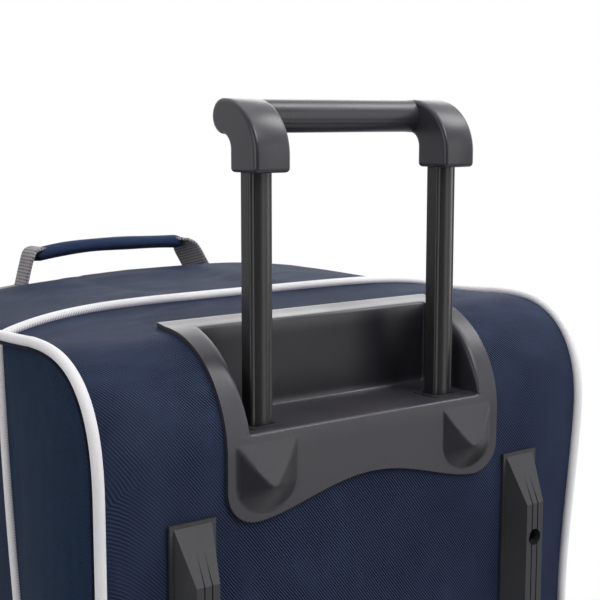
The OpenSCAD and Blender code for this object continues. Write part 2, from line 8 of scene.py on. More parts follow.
import bmesh
import bpy
import numpy as np
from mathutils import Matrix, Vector


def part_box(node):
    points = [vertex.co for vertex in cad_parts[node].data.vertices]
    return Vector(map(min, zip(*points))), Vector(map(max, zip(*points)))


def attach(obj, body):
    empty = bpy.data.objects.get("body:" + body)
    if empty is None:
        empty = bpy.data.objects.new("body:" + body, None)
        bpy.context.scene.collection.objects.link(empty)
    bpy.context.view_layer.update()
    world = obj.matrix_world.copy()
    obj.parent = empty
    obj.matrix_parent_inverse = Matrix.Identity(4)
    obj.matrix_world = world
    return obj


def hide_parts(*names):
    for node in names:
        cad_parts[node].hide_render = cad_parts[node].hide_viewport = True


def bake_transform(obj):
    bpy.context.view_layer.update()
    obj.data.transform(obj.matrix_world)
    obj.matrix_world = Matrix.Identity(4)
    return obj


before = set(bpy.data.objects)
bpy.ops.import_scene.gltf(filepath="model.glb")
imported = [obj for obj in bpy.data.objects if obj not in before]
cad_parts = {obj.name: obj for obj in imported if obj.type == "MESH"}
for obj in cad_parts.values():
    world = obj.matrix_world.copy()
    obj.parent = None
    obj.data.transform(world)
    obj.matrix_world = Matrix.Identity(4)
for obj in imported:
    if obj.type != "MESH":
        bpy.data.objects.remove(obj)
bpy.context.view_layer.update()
MM = 0.001

# --- places taken from the frame -------------------------------------------

shell_lo, shell_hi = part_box("front_shell")
SIDE = shell_hi.x
SEAM = shell_lo.y  # depth of the centre seam, where the front half meets the rear tub
FRONT = shell_hi.y
BASE = shell_lo.z
TOP = shell_hi.z
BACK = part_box("rear_panel")[0].y
bush_lo, bush_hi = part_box("guide_bush_right")
FLOOR = bush_hi.z - 0.7 * MM  # floor of the trolley's recess; the bushes stand a little proud
PLATE_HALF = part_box("handle_housing")[1].x
TUBE_X = (bush_lo.x + bush_hi.x) / 2
grip_lo, grip_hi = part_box("handle_grip")
corner_lo, corner_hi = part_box("wheel_housing_right")
flap_lo, flap_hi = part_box("main_flap")
tape_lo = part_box("main_zip_tape")[0]
side_lo, side_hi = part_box("side_handle_right_wrap")

# --- driving dimensions of the soft shapes ----------------------------------

TUB_BOTTOM_R = 30 * MM  # lower back edge of the rear tub
TURN_R = 80 * MM  # its upper back edge
TURN_Z = -14 * MM  # where that edge starts to turn, above FLOOR
SEAM_EDGE_Z = FLOOR + 60 * MM  # height of the centre seam at the gussets
SEAM_CROWN = 15.5 * MM  # how much higher it is in the middle
WAIST = 40 * MM  # how far the side seams bend back half way down
GUSSET_BULGE = 9 * MM
FRONT_TOP_R = 110 * MM
FRONT_SIDE_R = 46 * MM
FRONT_BOTTOM_R = 70 * MM
FRONT_BULGE = 8 * MM
FLAP_CORNER_R = 60 * MM
FLAP_CROWN = 9 * MM
PIPE_R = 4.1 * MM
PIPE_LIFT = 1.6 * MM  # how far the cord's middle lies outside the fabric
CLOTH_FRAMES = 14

# --- driving dimensions of the mouldings -------------------------------------

PLATE_T = 3.5 * MM
PLATE_DROP = 65 * MM  # the plate's lobes reach this far below FLOOR
PLATE_ARCH = 20 * MM  # height of the arch between them
CUP_HALF = 113 * MM  # half the recess's width
CUP_DEPTH = 66 * MM
CUP_TOP = 97.6 * MM  # top edge of the recess, measured round the tub from FLOOR
HOUSING_TOP = 122 * MM  # top edge of the flange, measured the same way
BAR_R = 13 * MM


def lerp(a, b, t):
    """a at t = 0, b at t = 1."""
    return a + (b - a) * t


def smooth(lo, hi, x):
    """0 below lo, 1 above hi, an S curve between."""
    t = np.clip((np.asarray(x, float) - lo) / (hi - lo), 0, 1)
    return t * t * (3 - 2 * t)


# --- mesh helpers -----------------------------------------------------------


def link(name, data):
    """New object in the scene."""
    obj = bpy.data.objects.new(name, data)
    bpy.context.scene.collection.objects.link(obj)
    return obj


def smooth_sides(mesh):
    """Smooth shading, except on many-sided end caps."""
    mesh.shade_smooth()
    for face in mesh.polygons:
        if len(face.vertices) > 4:
            face.use_smooth = False


def grid_object(name, points, close_rows=False, close_columns=False, uv=None):
    """Quad mesh over an array of points (rows, columns, 3), with uv (rows, columns, 2) in metres."""
    rows, columns = points.shape[:2]
    index = np.arange(rows * columns).reshape(rows, columns)
    if close_columns:
        index = np.concatenate([index, index[:, :1]], axis=1)
    if close_rows:
        index = np.concatenate([index, index[:1]], axis=0)
    faces = np.stack(
        [index[:-1, :-1], index[:-1, 1:], index[1:, 1:], index[1:, :-1]], axis=-1
    ).reshape(-1, 4)
    mesh = bpy.data.meshes.new(name)
    mesh.from_pydata(points.reshape(-1, 3).tolist(), [], faces.tolist())
    if uv is not None:
        layer = mesh.uv_layers.new(name="weave")
        layer.data.foreach_set("uv", uv.reshape(-1, 2)[faces.reshape(-1)].astype(np.float32).ravel())
    mesh.shade_smooth()
    return link(name, mesh)


def edit(obj, action):
    """Runs action(bm) on the object's mesh."""
    bm = bmesh.new()
    bm.from_mesh(obj.data)
    action(bm)
    bm.to_mesh(obj.data)
    bm.free()
    obj.data.update()


def joined(name, parts):
    """One object made of several, in the order given."""
    bm = bmesh.new()
    for part in parts:
        bm.from_mesh(part.data)
    mesh = bpy.data.meshes.new(name)
    bm.to_mesh(mesh)
    bm.free()
    for part in parts:
        old = part.data
        bpy.data.objects.remove(part)
        bpy.data.meshes.remove(old)
    smooth_sides(mesh)
    return link(name, mesh)


def bevel(obj, width, segments, angle):
    """Rounds the edges that turn by more than angle degrees."""
    mod = obj.modifiers.new("edge_radius", "BEVEL")
    mod.width = width
    mod.segments = segments
    mod.limit_method = "ANGLE"
    mod.angle_limit = math.radians(angle)
    mod.harden_normals = False


def lengths(path):
    """Distance along the path to each of its points."""
    return np.concatenate([[0], np.cumsum(np.linalg.norm(np.diff(path, axis=0), axis=1))])


def fill_ends(obj):
    """Closes the mesh's open ends."""
    edit(obj, lambda bm: bmesh.ops.holes_fill(bm, edges=[e for e in bm.edges if e.is_boundary]))


def unit(vectors):
    """The vectors, each made one long."""
    return vectors / np.linalg.norm(vectors, axis=-1)[..., None]


def tube(name, path, radius, sides, closed=False, squash=(1, 1), guide=(0, 1, 0)):
    """Cord along a path that never runs along guide. Its uv goes along it in metres and once round it."""
    path = np.asarray(path, float)
    step = np.roll(path, -1, 0) - np.roll(path, 1, 0)
    if not closed:
        step[0] = path[1] - path[0]
        step[-1] = path[-1] - path[-2]
    tangent = unit(step)
    first = unit(np.cross(tangent, guide))
    second = np.cross(tangent, first)
    angle = np.linspace(0, 2 * np.pi, sides, endpoint=False)[None, :, None]
    radius = np.broadcast_to(np.asarray(radius, float), len(path))[:, None, None]
    points = path[:, None] + radius * (
        squash[0] * np.cos(angle) * first[:, None] + squash[1] * np.sin(angle) * second[:, None]
    )
    round_once = np.linspace(0, 1, sides, endpoint=False)
    uv = np.stack(np.broadcast_arrays(lengths(path)[:, None], round_once[None]), axis=-1)
    return grid_object(name, points, close_rows=closed, close_columns=True, uv=uv)


def resample(path, spacing):
    """The same path with points about spacing apart."""
    path = np.asarray(path, float)
    length = lengths(path)
    places = np.linspace(0, length[-1], max(2, int(length[-1] / spacing) + 1))
    return np.stack([np.interp(places, length, path[:, k]) for k in range(3)], axis=1)


def vertex_points(mesh):
    """The mesh's vertices as an array of points."""
    flat = np.empty(len(mesh.vertices) * 3)
    mesh.vertices.foreach_get("co", flat)
    return flat.reshape(-1, 3)


def add_cloth(obj, pressure, spread):
    """Padded polyester, held by the vertex group of its seams."""
    mod = obj.modifiers.new("padding_cloth", "CLOTH")
    cloth = mod.settings
    cloth.quality = 5
    cloth.mass = 0.25
    cloth.tension_stiffness = 25
    cloth.compression_stiffness = 8
    cloth.shear_stiffness = 8
    cloth.bending_stiffness = 1.5
    cloth.air_damping = 3
    cloth.pin_stiffness = 20
    cloth.vertex_group_mass = "seams"
    cloth.use_pressure = True
    cloth.uniform_pressure_force = pressure
    cloth.shrink_min = -spread
    cloth.effector_weights.gravity = 0.15
    mod.point_cache.frame_start = 1
    mod.point_cache.frame_end = CLOTH_FRAMES
    return mod


def padded(obj, weights, pressure, spread, limit):
    """Settles a soft panel with a short cloth run, its seams held, and keeps the result in its mesh.

    weights: how firmly each vertex is held, 1 at the seams. spread: extra cloth, as a share of its size.
    No vertex moves further than limit."""
    mesh = obj.data
    before = vertex_points(mesh)
    group = obj.vertex_groups.new(name="seams")
    for k, weight in enumerate(weights):
        if weight > 0:
            group.add([k], float(weight), "REPLACE")
    mod = add_cloth(obj, pressure, spread)
    scene = bpy.context.scene
    for frame_number in range(1, CLOTH_FRAMES + 1):
        scene.frame_set(frame_number)
    after = vertex_points(obj.evaluated_get(bpy.context.evaluated_depsgraph_get()).to_mesh())
    obj.to_mesh_clear()
    obj.modifiers.remove(mod)
    obj.vertex_groups.remove(group)
    scene.frame_set(1)
    move = after - before
    size = np.linalg.norm(move, axis=1)[:, None]
    move = move * np.minimum(1, limit / np.maximum(size, 1e-9))
    mesh.vertices.foreach_set("co", (before + move).ravel())
    mesh.update()


def dress(obj, material, body, replaces=()):
    """Gives a piece its material, the body it rides on and the CAD nodes it stands for.

    A piece that is to be blended between two bodies has no body of its own."""
    obj.data.materials.clear()
    obj.data.materials.append(material)
    if body:
        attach(obj, body)
    if replaces:
        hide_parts(*replaces)


# --- materials --------------------------------------------------------------


class Nodes:
    """Short calls that add shader nodes to a tree."""

    def __init__(self, tree):
        self.tree = tree

    def put(self, node, key, value):
        """Links a socket to a node's input, or sets the input's value."""
        if isinstance(value, bpy.types.NodeSocket):
            self.tree.links.new(value, node.inputs[key])
        elif value is not None:
            node.inputs[key].default_value = value

    def node(self, kind, inputs=None, **settings):
        """Shader node with its settings made and its inputs linked or set."""
        made = self.tree.nodes.new("ShaderNode" + kind)
        for key, value in settings.items():
            setattr(made, key, value)
        for key, value in (inputs or {}).items():
            self.put(made, key, value)
        return made

    def math(self, operation, a, b=None, c=None):
        return self.node("Math", {0: a, 1: b, 2: c}, operation=operation).outputs[0]

    def span(self, value, low, high, from_min=0.0, from_max=1.0):
        """Number from low to high as value goes from from_min to from_max."""
        ends = {"From Min": from_min, "From Max": from_max, "To Min": low, "To Max": high}
        return self.node("MapRange", {"Value": value, **ends}).outputs[0]


class Shader(Nodes):
    """A Principled material, with calls for what its looks are made of."""

    def __init__(self, name, colour, roughness, **inputs):
        self.mat = bpy.data.materials.new(name)
        self.mat.use_nodes = True
        super().__init__(self.mat.node_tree)
        self.bsdf = self.tree.nodes["Principled BSDF"]
        self.set(Base_Color=(*colour, 1), Roughness=roughness, **inputs)

    def set(self, **inputs):
        """Links or sets the Principled node's inputs, named with _ for a space."""
        for key, value in inputs.items():
            self.put(self.bsdf, key.replace("_", " "), value)

    def noise(self, scale, detail, vector=None):
        return self.node("TexNoise", {"Scale": scale, "Detail": detail, "Vector": vector}).outputs[0]

    def coords(self, kind="Object"):
        return self.node("TexCoord").outputs[kind]

    def uv(self):
        parts = self.node("SeparateXYZ", {0: self.coords("UV")})
        return parts.outputs[0], parts.outputs[1]

    def wave(self, value, pitch):
        """Sine of a length, with the pitch in metres, from 0 to 1."""
        turn = self.math("MULTIPLY", value, 2 * math.pi / pitch)
        return self.math("MULTIPLY_ADD", self.math("SINE", turn), 0.5, 0.5)

    def mix(self, factor, low, high):
        """Colour from low to high as factor goes from 0 to 1."""
        return self.node("Mix", {"Factor": factor, 6: low, 7: high}, data_type="RGBA").outputs[2]

    def ramp(self, value, low, high, from_min, from_max):
        """Colour from low to high as value goes from from_min to from_max."""
        return self.mix(self.span(value, 0, 1, from_min, from_max), (*low, 1), (*high, 1))

    def bump(self, height, distance, strength):
        return self.node(
            "Bump", {"Height": height, "Distance": distance, "Strength": strength}
        ).outputs[0]

    def finish(self, **inputs):
        """Sets the last inputs and gives the material."""
        self.set(**inputs)
        return self.mat


def woven_fabric(name, low, high, pitch=2.2 * MM, lean=1.0, contrast=1.0, board=False):
    """Coated polyester: a fine diagonal weave broken by cross threads.

    lean turns the weave and gives the length of one unit of v. board: the weave shows most where
    the panel is stretched over its board."""
    s = Shader(name, high, 0.7, Specular_IOR_Level=0.06)
    u, v = s.uv()
    along = s.math("MULTIPLY_ADD", v, lean * 0.8, u)
    across = s.math("MULTIPLY_ADD", v, lean * -1.3, u)
    wander = s.math("MULTIPLY", s.noise(60, 2), 0.8 * MM)
    ribs = s.wave(s.math("ADD", along, wander), pitch)
    breaks = s.wave(across, pitch * 1.1)
    weave = s.math("MULTIPLY", ribs, s.math("MULTIPLY_ADD", breaks, 0.6, 0.4))
    clear = s.span(s.noise(16, 2), 0.35, 1.0, 0.35, 0.6)
    if board:
        off_middle = s.math("ABSOLUTE", u)
        clear = s.math("MULTIPLY", s.span(off_middle, 1.5, 0.4, 70 * MM, 180 * MM), clear)
    weave = s.math("MULTIPLY_ADD", s.math("SUBTRACT", weave, 0.4), clear, 0.4)
    cloud = s.noise(9, 3)
    tone = s.math("MULTIPLY_ADD", cloud, 0.3, weave)
    edge = 0.2 * contrast
    colour = s.ramp(tone, low, high, 0.1 + edge, 1.05 - edge)
    normal = s.bump(weave, 0.4 * MM, 0.9)
    rough = s.span(weave, 0.75, 0.5)
    return s.finish(Base_Color=colour, Normal=normal, Roughness=rough)


def piping_cover(name, teeth=1.0):
    """Off-white woven cover over a cord, with slanting ribs on the side that faces back and down. The
    ribs are real, but their dark colour there is painted shadow; teeth sets how strong the ribs and that
    painted shadow are.
    """
    s = Shader(name, (0.78, 0.78, 0.77), 0.6, Sheen_Weight=0.2)
    u, v = s.uv()
    slant = s.math("MULTIPLY_ADD", v, 14 * MM, u)
    # Mask for the ribs and their painted shadow, strongest on the cord's back and lower side where shade
    # falls.
    away = s.math("ABSOLUTE", s.math("SUBTRACT", v, 0.36))
    ribs = s.math("MULTIPLY", s.wave(slant, 2.2 * MM), s.span(away, teeth, 0.15 * teeth, 0.08, 0.18))
    grain = s.noise(900, 2)
    height = s.math("MULTIPLY_ADD", grain, 0.5, ribs)
    tone = s.math("MULTIPLY_ADD", grain, 0.4, ribs)
    # The dark end of this ramp paints the shadow in the ribs.
    colour = s.ramp(tone, (0.86, 0.85, 0.87), (0.36, 0.35, 0.42), 0.25, 1.2)
    return s.finish(Base_Color=colour, Normal=s.bump(height, 0.35 * MM, 0.8))


def moulded_plastic(name, colour, roughness, grain=0.05 * MM, painted_shade_parts=False):
    """Moulded plastic with a spark-eroded grain, faint flow marks and cloudy wear.

    Its last argument turns on painted shade: an attribute of the mesh darkens places and makes them less
    shiny where shade falls."""
    s = Shader(name, colour, roughness)
    where = s.coords()
    fine = s.noise(1400, 3, where)
    leather = s.noise(420, 4, where)
    flow = s.noise(14, 2, where)
    low = tuple(0.8 * c for c in colour)
    high = tuple(1.2 * c for c in colour)
    shade = s.ramp(s.math("MULTIPLY_ADD", leather, 0.5, flow), low, high, 0.5, 1.0)
    rough = s.span(flow, roughness - 0.06, roughness + 0.06, 0.3, 0.7)
    height = s.math("MULTIPLY_ADD", leather, 0.6, fine)
    if painted_shade_parts:
        # Painted shade from the mesh attribute: a darker base colour and less shine.
        painted_shade = s.node("Attribute", attribute_name="painted_shade").outputs["Fac"]
        shade = s.mix(s.math("MULTIPLY", painted_shade, 0.85), shade, (*(0.1 * c for c in colour), 1))
        s.set(Specular_IOR_Level=s.span(painted_shade, 0.5, 0.15))
    return s.finish(Base_Color=shade, Roughness=rough, Normal=s.bump(height, grain, 0.5))


def satin_metal(name, colour, roughness, metallic=1.0):
    """Drawn metal with fine lines along Z."""
    s = Shader(name, colour, roughness, Metallic=metallic)
    stretch = s.node("Mapping", {0: s.coords(), 3: (1, 1, 0.03)}).outputs[0]
    lines = s.noise(1800, 2, stretch)
    rough = s.span(lines, roughness - 0.05, roughness + 0.08, 0.3, 0.7)
    return s.finish(Roughness=rough, Normal=s.bump(lines, 0.02 * MM, 0.4))


def ribbed_webbing(name):
    """Grey-mauve webbing with cross ribs, flecked by light and dark threads."""
    s = Shader(name, (0.22, 0.2, 0.22), 0.8, Sheen_Weight=0.3)
    u, v = s.uv()
    ribs = s.wave(u, 3.2 * MM)
    fleck = s.noise(700, 2)
    threads = s.wave(s.math("MULTIPLY_ADD", fleck, 1.2 * MM, v), 1.4 * MM)
    height = s.math("MULTIPLY_ADD", threads, 0.6, s.math("MULTIPLY", ribs, 0.7))
    tone = s.math("ADD", s.math("MULTIPLY", height, 0.6), s.math("MULTIPLY", fleck, 0.8))
    colour = s.ramp(tone, (0.07, 0.06, 0.08), (0.52, 0.48, 0.5), 0.45, 1.15)
    return s.finish(Base_Color=colour, Normal=s.bump(height, 0.6 * MM, 0.9))


def rubber(name, colour):
    """Matt rubber with a fine grain and pale scuffs."""
    s = Shader(name, colour, 0.75)
    grain = s.noise(600, 3, s.coords())
    scuffs = s.noise(40, 4, s.coords())
    shade = s.ramp(scuffs, colour, tuple(2.2 * c for c in colour), 0.45, 0.75)
    return s.finish(Base_Color=shade, Normal=s.bump(grain, 0.12 * MM, 0.6))


def sheet_board(name):
    """Grey fibre board."""
    s = Shader(name, (0.25, 0.26, 0.27), 0.55)
    fibre = s.noise(300, 3, s.coords())
    shade = s.ramp(fibre, (0.2, 0.21, 0.22), (0.3, 0.31, 0.32), 0.3, 0.7)
    return s.finish(Base_Color=shade, Normal=s.bump(fibre, 0.1 * MM, 0.4))


NAVY_LOW = (0.0038, 0.0065, 0.018)
NAVY_HIGH = (0.048, 0.066, 0.128)
WRAP_ROUND = 62 * MM
fabric = woven_fabric("navy_weave", NAVY_LOW, NAVY_HIGH)
rear_fabric = woven_fabric("navy_weave_back", NAVY_LOW, NAVY_HIGH, 2.4 * MM, board=True)
gusset_fabric = woven_fabric(
    "navy_weave_side", (0.004, 0.012, 0.03), (0.022, 0.045, 0.092), lean=-1.0, contrast=0.5
)
wrap_fabric = woven_fabric(
    "navy_weave_wrap", (0.004, 0.01, 0.032), (0.045, 0.075, 0.16), 2.0 * MM, WRAP_ROUND
)
lining = woven_fabric("navy_lining", (0.008, 0.012, 0.028), (0.02, 0.03, 0.06), 1.2 * MM)
white_cover = piping_cover("white_piping")
side_cover = piping_cover("white_piping_side", 0.1)
# The housing's material paints shade in its recess and on its ramps' sides.
housing_plastic = moulded_plastic("housing_plastic", (0.030, 0.028, 0.036), 0.36, 0.09 * MM, True)
grip_plastic = moulded_plastic("grip_plastic", (0.030, 0.030, 0.038), 0.32, 0.03 * MM)
rail_plastic = moulded_plastic("rail_plastic", (0.026, 0.026, 0.030), 0.42)
inner_plastic = moulded_plastic("inner_plastic", (0.02, 0.02, 0.021), 0.45)
hub_plastic = moulded_plastic("hub_plastic", (0.09, 0.09, 0.095), 0.4)
black_tube = satin_metal("black_tube", (0.030, 0.030, 0.032), 0.3, 0.35)
bare_tube = satin_metal("bare_tube", (0.6, 0.6, 0.62), 0.35)
screw_steel = satin_metal("screw_steel", (0.35, 0.35, 0.36), 0.32)
zip_metal = satin_metal("zip_metal", (0.32, 0.32, 0.33), 0.28)
webbing = ribbed_webbing("grey_webbing")
tyre_rubber = rubber("tyre_rubber", (0.018, 0.018, 0.019))
foot_rubber = rubber("foot_rubber", (0.02, 0.02, 0.021))
board = sheet_board("stiffener_board")


# --- rear tub ---------------------------------------------------------------


def tub_turn(x):
    """Top back edge at x as a superellipse: its centre (y, z), half axes and exponent.

    It is round nearly all the way across, and larger and squarer at the gussets."""
    middle = (BACK + TURN_R, FLOOR + TURN_Z, TURN_R, TURN_R, 2.0)
    at_gusset = (BACK + 105 * MM, FLOOR - 42 * MM, 96.5 * MM, 104.5 * MM, 2.8)
    share = np.abs(x / SIDE) ** 10
    return [lerp(a, b, share) for a, b in zip(middle, at_gusset)]


def seam_height(x):
    """Height of the centre seam over the top of the bag."""
    return SEAM_EDGE_Z + SEAM_CROWN * (1 - np.abs(x / SIDE) ** 5)


def waist_y(z):
    """Depth of the side seam, which curves towards the back half way down."""
    t = np.clip((SEAM_EDGE_Z - z) / (SEAM_EDGE_Z - BASE), 0, 1)
    return SEAM - WAIST * np.sin(np.pi * t) ** 2


def tub(x, v):
    """Rear tub at x. v is 0-1 along the bottom, 1-2 lower edge, 2-3 back, 3-4 top edge, 4-5 top."""
    x, v = np.broadcast_arrays(np.asarray(x, float), np.asarray(v, float))
    yc, zc, a, b, n = tub_turn(x)
    part = [np.clip(v - k, 0, 1) for k in range(5)]
    low, high = part[1] * np.pi / 2, part[3] * np.pi / 2
    back = yc - a
    y = lerp(SEAM, back + TUB_BOTTOM_R, part[0]) - TUB_BOTTOM_R * np.sin(low)
    y = y + a * (1 - np.clip(np.cos(high), 0, 1) ** (2 / n)) + (SEAM - yc) * part[4]
    z = BASE + TUB_BOTTOM_R * (1 - np.cos(low)) + (zc - BASE - TUB_BOTTOM_R) * part[2]
    z = z + b * np.sin(high) ** (2 / n) + (seam_height(x) - zc - b) * part[4] ** 0.8
    return np.stack([x, y, z], axis=-1)


def tub_at(x, rise):
    """Point and outward normal of the tub, rise metres above the recess floor measured over the edge."""
    x, rise = np.broadcast_arrays(np.asarray(x, float), np.asarray(rise, float))
    straight = FLOOR + TURN_Z - BASE - TUB_BOTTOM_R
    v = 3 + np.minimum(rise - TURN_Z, 0) / straight
    v = v + np.clip((rise - TURN_Z) / (TURN_R * np.pi / 2), 0, 1)
    v = v + np.clip((rise - TURN_Z - TURN_R * np.pi / 2) / (SEAM - BACK - TURN_R), 0, 1)
    turn = np.clip(v - 3, 0, 1) * np.pi / 2
    normal = np.stack([0 * x, -np.cos(turn), np.sin(turn)], axis=-1)
    return tub(x, v), normal


def packed_corner(points):
    """Pushes the upper right back corner out sideways a little, as on a packed bag."""
    x, y, z = points[..., 0], points[..., 1], points[..., 2]
    near = smooth(120 * MM, SIDE, x) * (1 - smooth(BACK + 60 * MM, SEAM - 10 * MM, y))
    high = smooth(FLOOR - 200 * MM, FLOOR, z)
    out = points.copy()
    out[..., 0] += 15 * MM * near * high
    return out


def soft_waves(a, b, seed, size=0.17):
    """Low, smooth unevenness from -1 to 1 over two lengths."""
    rng = np.random.default_rng(seed)
    total = 0
    for _ in range(6):
        angle = rng.uniform(0, np.pi)
        length = size * rng.uniform(0.6, 1.6)
        turn = 2 * np.pi * (a * np.cos(angle) + b * np.sin(angle)) / length
        total = total + np.sin(turn + rng.uniform(0, 2 * np.pi))
    return total / 6


def under_corner(points):
    """1 where a point lies under a moulded wheel corner, 0 away from it."""
    x, y, z = points[..., 0], points[..., 1], points[..., 2]
    inside_x = smooth(corner_lo.x - 7 * MM, corner_lo.x + 1 * MM, np.abs(x))
    inside_y = 1 - smooth(corner_hi.y - 2 * MM, corner_hi.y + 8 * MM, y)
    inside_z = 1 - smooth(corner_hi.z - 2 * MM, corner_hi.z + 8 * MM, z)
    return inside_x * inside_y * inside_z


def cut_faces(obj, test):
    """Deletes the faces whose corners all pass test(vertex position)."""

    def action(bm):
        gone = [f for f in bm.faces if all(test(v.co) for v in f.verts)]
        bmesh.ops.delete(bm, geom=gone, context="FACES")

    edit(obj, action)


def in_wheel_corner(p):
    """True well inside a moulded wheel corner, where no fabric is needed."""
    hidden = 6 * MM
    low = p.y < corner_hi.y - hidden and p.z < corner_hi.z - hidden
    return low and abs(p.x) > corner_lo.x + hidden


def make_rear_panel():
    """Fabric over the base, back and top of the rear tub, open at the recess and wheel corners."""
    rows = np.concatenate(
        [
            np.linspace(0, 1, 20, endpoint=False),
            np.linspace(1, 2, 6, endpoint=False),
            np.linspace(2, 3, 118, endpoint=False),
            np.linspace(3, 4, 22, endpoint=False),
            np.linspace(4, 5, 12),
        ]
    )
    across = np.linspace(-SIDE, SIDE, 74)
    x, v = np.meshgrid(across, rows)
    points = tub(x, v)
    back = smooth(2.0, 2.15, v) * (1 - smooth(2.9, 3.05, v)) * (1 - np.abs(x / SIDE) ** 6)
    points[..., 1] += back * 1.3 * MM * soft_waves(x, points[..., 2], 3)
    hidden = under_corner(points)
    points[..., 1] += hidden * 2 * MM
    points[..., 2] += hidden * 2 * MM * (v < 2)
    uv = np.stack([x, np.broadcast_to(lengths(tub(0.0, rows))[:, None], x.shape)], axis=-1)
    obj = grid_object("rear_panel_fabric", packed_corner(points)[:, ::-1], uv=uv[:, ::-1])
    recess_x = PLATE_HALF - 12 * MM
    recess_y = BACK + 78 * MM
    cut_faces(obj, lambda p: abs(p.x) < recess_x and p.y < recess_y and p.z > FLOOR - 12 * MM)
    cut_faces(obj, in_wheel_corner)
    dress(obj, rear_fabric, "shell", ["rear_panel"])


def make_gusset(side, name):
    """Side panel between the back edge's piping and the centre seam, bulging a little."""
    fine = tub(SIDE, np.linspace(1, 5, 900))
    length = lengths(fine)
    t = np.linspace(0, 1, 132)
    back_edge = np.stack([np.interp(t * length[-1], length, fine[:, k]) for k in range(3)], axis=1)
    z = lerp(BASE, SEAM_EDGE_Z, t)
    seam_edge = np.stack([np.full_like(z, SIDE), waist_y(z), z], axis=1)
    u = np.linspace(0, 1, 22)[None, :, None]
    points = lerp(back_edge[:, None], seam_edge[:, None], u)
    swell = np.sin(np.pi * u[..., 0]) ** 0.8 * np.sin(np.pi * t[:, None] ** 1.3) ** 0.45
    waves = soft_waves(points[..., 1], points[..., 2], 11 + side)
    points[..., 0] += GUSSET_BULGE * swell * (1 + 0.15 * waves)
    points[..., 0] = lerp(points[..., 0], SIDE - 2 * MM, under_corner(points))
    points = packed_corner(points * [side, 1, 1])
    uv = np.stack([points[..., 1], points[..., 2]], axis=-1)
    if side > 0:
        points, uv = points[:, ::-1], uv[:, ::-1]
    obj = grid_object(f"side_gusset_{name}_fabric", points, uv=uv)
    edit(obj, lambda bm: bmesh.ops.remove_doubles(bm, verts=bm.verts, dist=1e-5))
    cut_faces(obj, in_wheel_corner)
    dress(obj, gusset_fabric, "shell", [f"side_gusset_{name}"])


# --- front half -------------------------------------------------------------


def ring(half_w, low, high, radii):
    """Rounded rectangle in (x, z), counter-clockwise from the bottom left, always with the same number
    of points. radii: bottom right, top right, top left, bottom left. Also returns how far each point
    belongs to the top and to the bottom."""
    n_wide, n_tall, n_corner = 44, 84, 12
    signs = np.array([(1, -1), (1, 1), (-1, 1), (-1, -1)])
    middle = np.array([0, (low + high) / 2])
    size = np.array([half_w, (high - low) / 2])
    points, facing = [], []
    for k, sign in enumerate(signs):
        centre = middle + sign * (size - radii[k])
        angle = (k - 1 + np.arange(n_corner + 1) / n_corner) * np.pi / 2
        normals = np.column_stack([np.cos(angle), np.sin(angle)])
        before = middle + signs[k - 1] * (size - radii[k - 1]) + radii[k - 1] * normals[0]
        n = n_tall if k % 2 else n_wide
        t = np.arange(n)[:, None] / n
        points += [lerp(before, centre + radii[k] * normals[0], t), centre + radii[k] * normals[:-1]]
        facing += [np.tile(normals[0], (n, 1)), normals[:-1]]
    x, z = np.concatenate(points).T
    up = np.concatenate(facing)[:, 1]
    return x, z, np.clip(up, 0, 1), np.clip(-up, 0, 1)


def crest_drop(x):
    """How far the crest of the top falls towards the sides, with a soft sag on the left."""
    return 19 * MM * np.abs(x / SIDE) ** 2.5 + 10 * MM * np.clip((200 * MM - x) / (340 * MM), 0, 1)


def front_top_drop(x, q):
    """How far the top lies below TOP: q is 0 at the centre seam and 1 at the front edge's turn."""
    at_seam = TOP - seam_height(x)
    ahead = crest_drop(x)
    return lerp(at_seam, ahead, np.sin(np.clip(q * 1.25, 0, 1) * np.pi / 2))


def at_side_handle(y, z):
    """1 where the front half's side stays flat behind a side handle, 0 away from it."""
    aside = np.abs(y - (side_lo.y + side_hi.y) / 2)
    along = np.abs(z - (side_lo.z + side_hi.z) / 2)
    half = (side_hi.z - side_lo.z) / 2
    return (1 - smooth(48 * MM, 85 * MM, aside)) * (1 - smooth(half + 34 * MM, half + 90 * MM, along))


def front_ring(q, phi, opening=0.0):
    """One ring of the front half. q runs along the straight walls, phi round the front edge,
    and opening over the flat front to the flap's outline."""
    c = 1 - math.cos(phi)
    r = lerp(4 * MM, 32 * MM, q ** 0.5) if phi == 0 else lerp(32 * MM, 62 * MM, math.sin(phi))
    side_in, top_in, bottom_in = FRONT_SIDE_R * c, FRONT_TOP_R * c, FRONT_BOTTOM_R * c
    half_w = lerp(SIDE - side_in, flap_hi.x, opening)
    low = lerp(BASE + bottom_in, flap_lo.z, opening)
    high = lerp(TOP - top_in, flap_hi.z, opening)
    free, hinge = lerp(r, FLAP_CORNER_R, opening), lerp(r, 3 * MM, opening)
    x, z, top, bottom = ring(half_w, low, high, [free, free, hinge, hinge])
    turn_r = FRONT_SIDE_R + (FRONT_TOP_R - FRONT_SIDE_R) * top
    turn_r = turn_r + (FRONT_BOTTOM_R - FRONT_SIDE_R) * bottom
    seam = lerp(waist_y(z), SEAM, np.clip(top + bottom, 0, 1))
    y = lerp(seam, FRONT - turn_r, q) + turn_r * math.sin(phi)
    high_part = smooth(TOP - 170 * MM - top_in, TOP - top_in, z) * (1 - opening)
    z = z - front_top_drop(x, q) * high_part * math.cos(phi) ** 0.5
    side_part = 1 - np.clip(top + bottom, 0, 1)
    swell = math.sin(math.pi * min(1, q * 0.98 + 0.02)) ** 0.5 * math.cos(phi)
    tall = np.sin(np.pi * np.clip((z - BASE) / (TOP - BASE), 0, 1)) ** 0.4
    x = x + np.sign(x) * side_part * swell * tall * (1 - at_side_handle(y, z)) * FRONT_BULGE
    return np.stack([x, y, z], axis=-1)


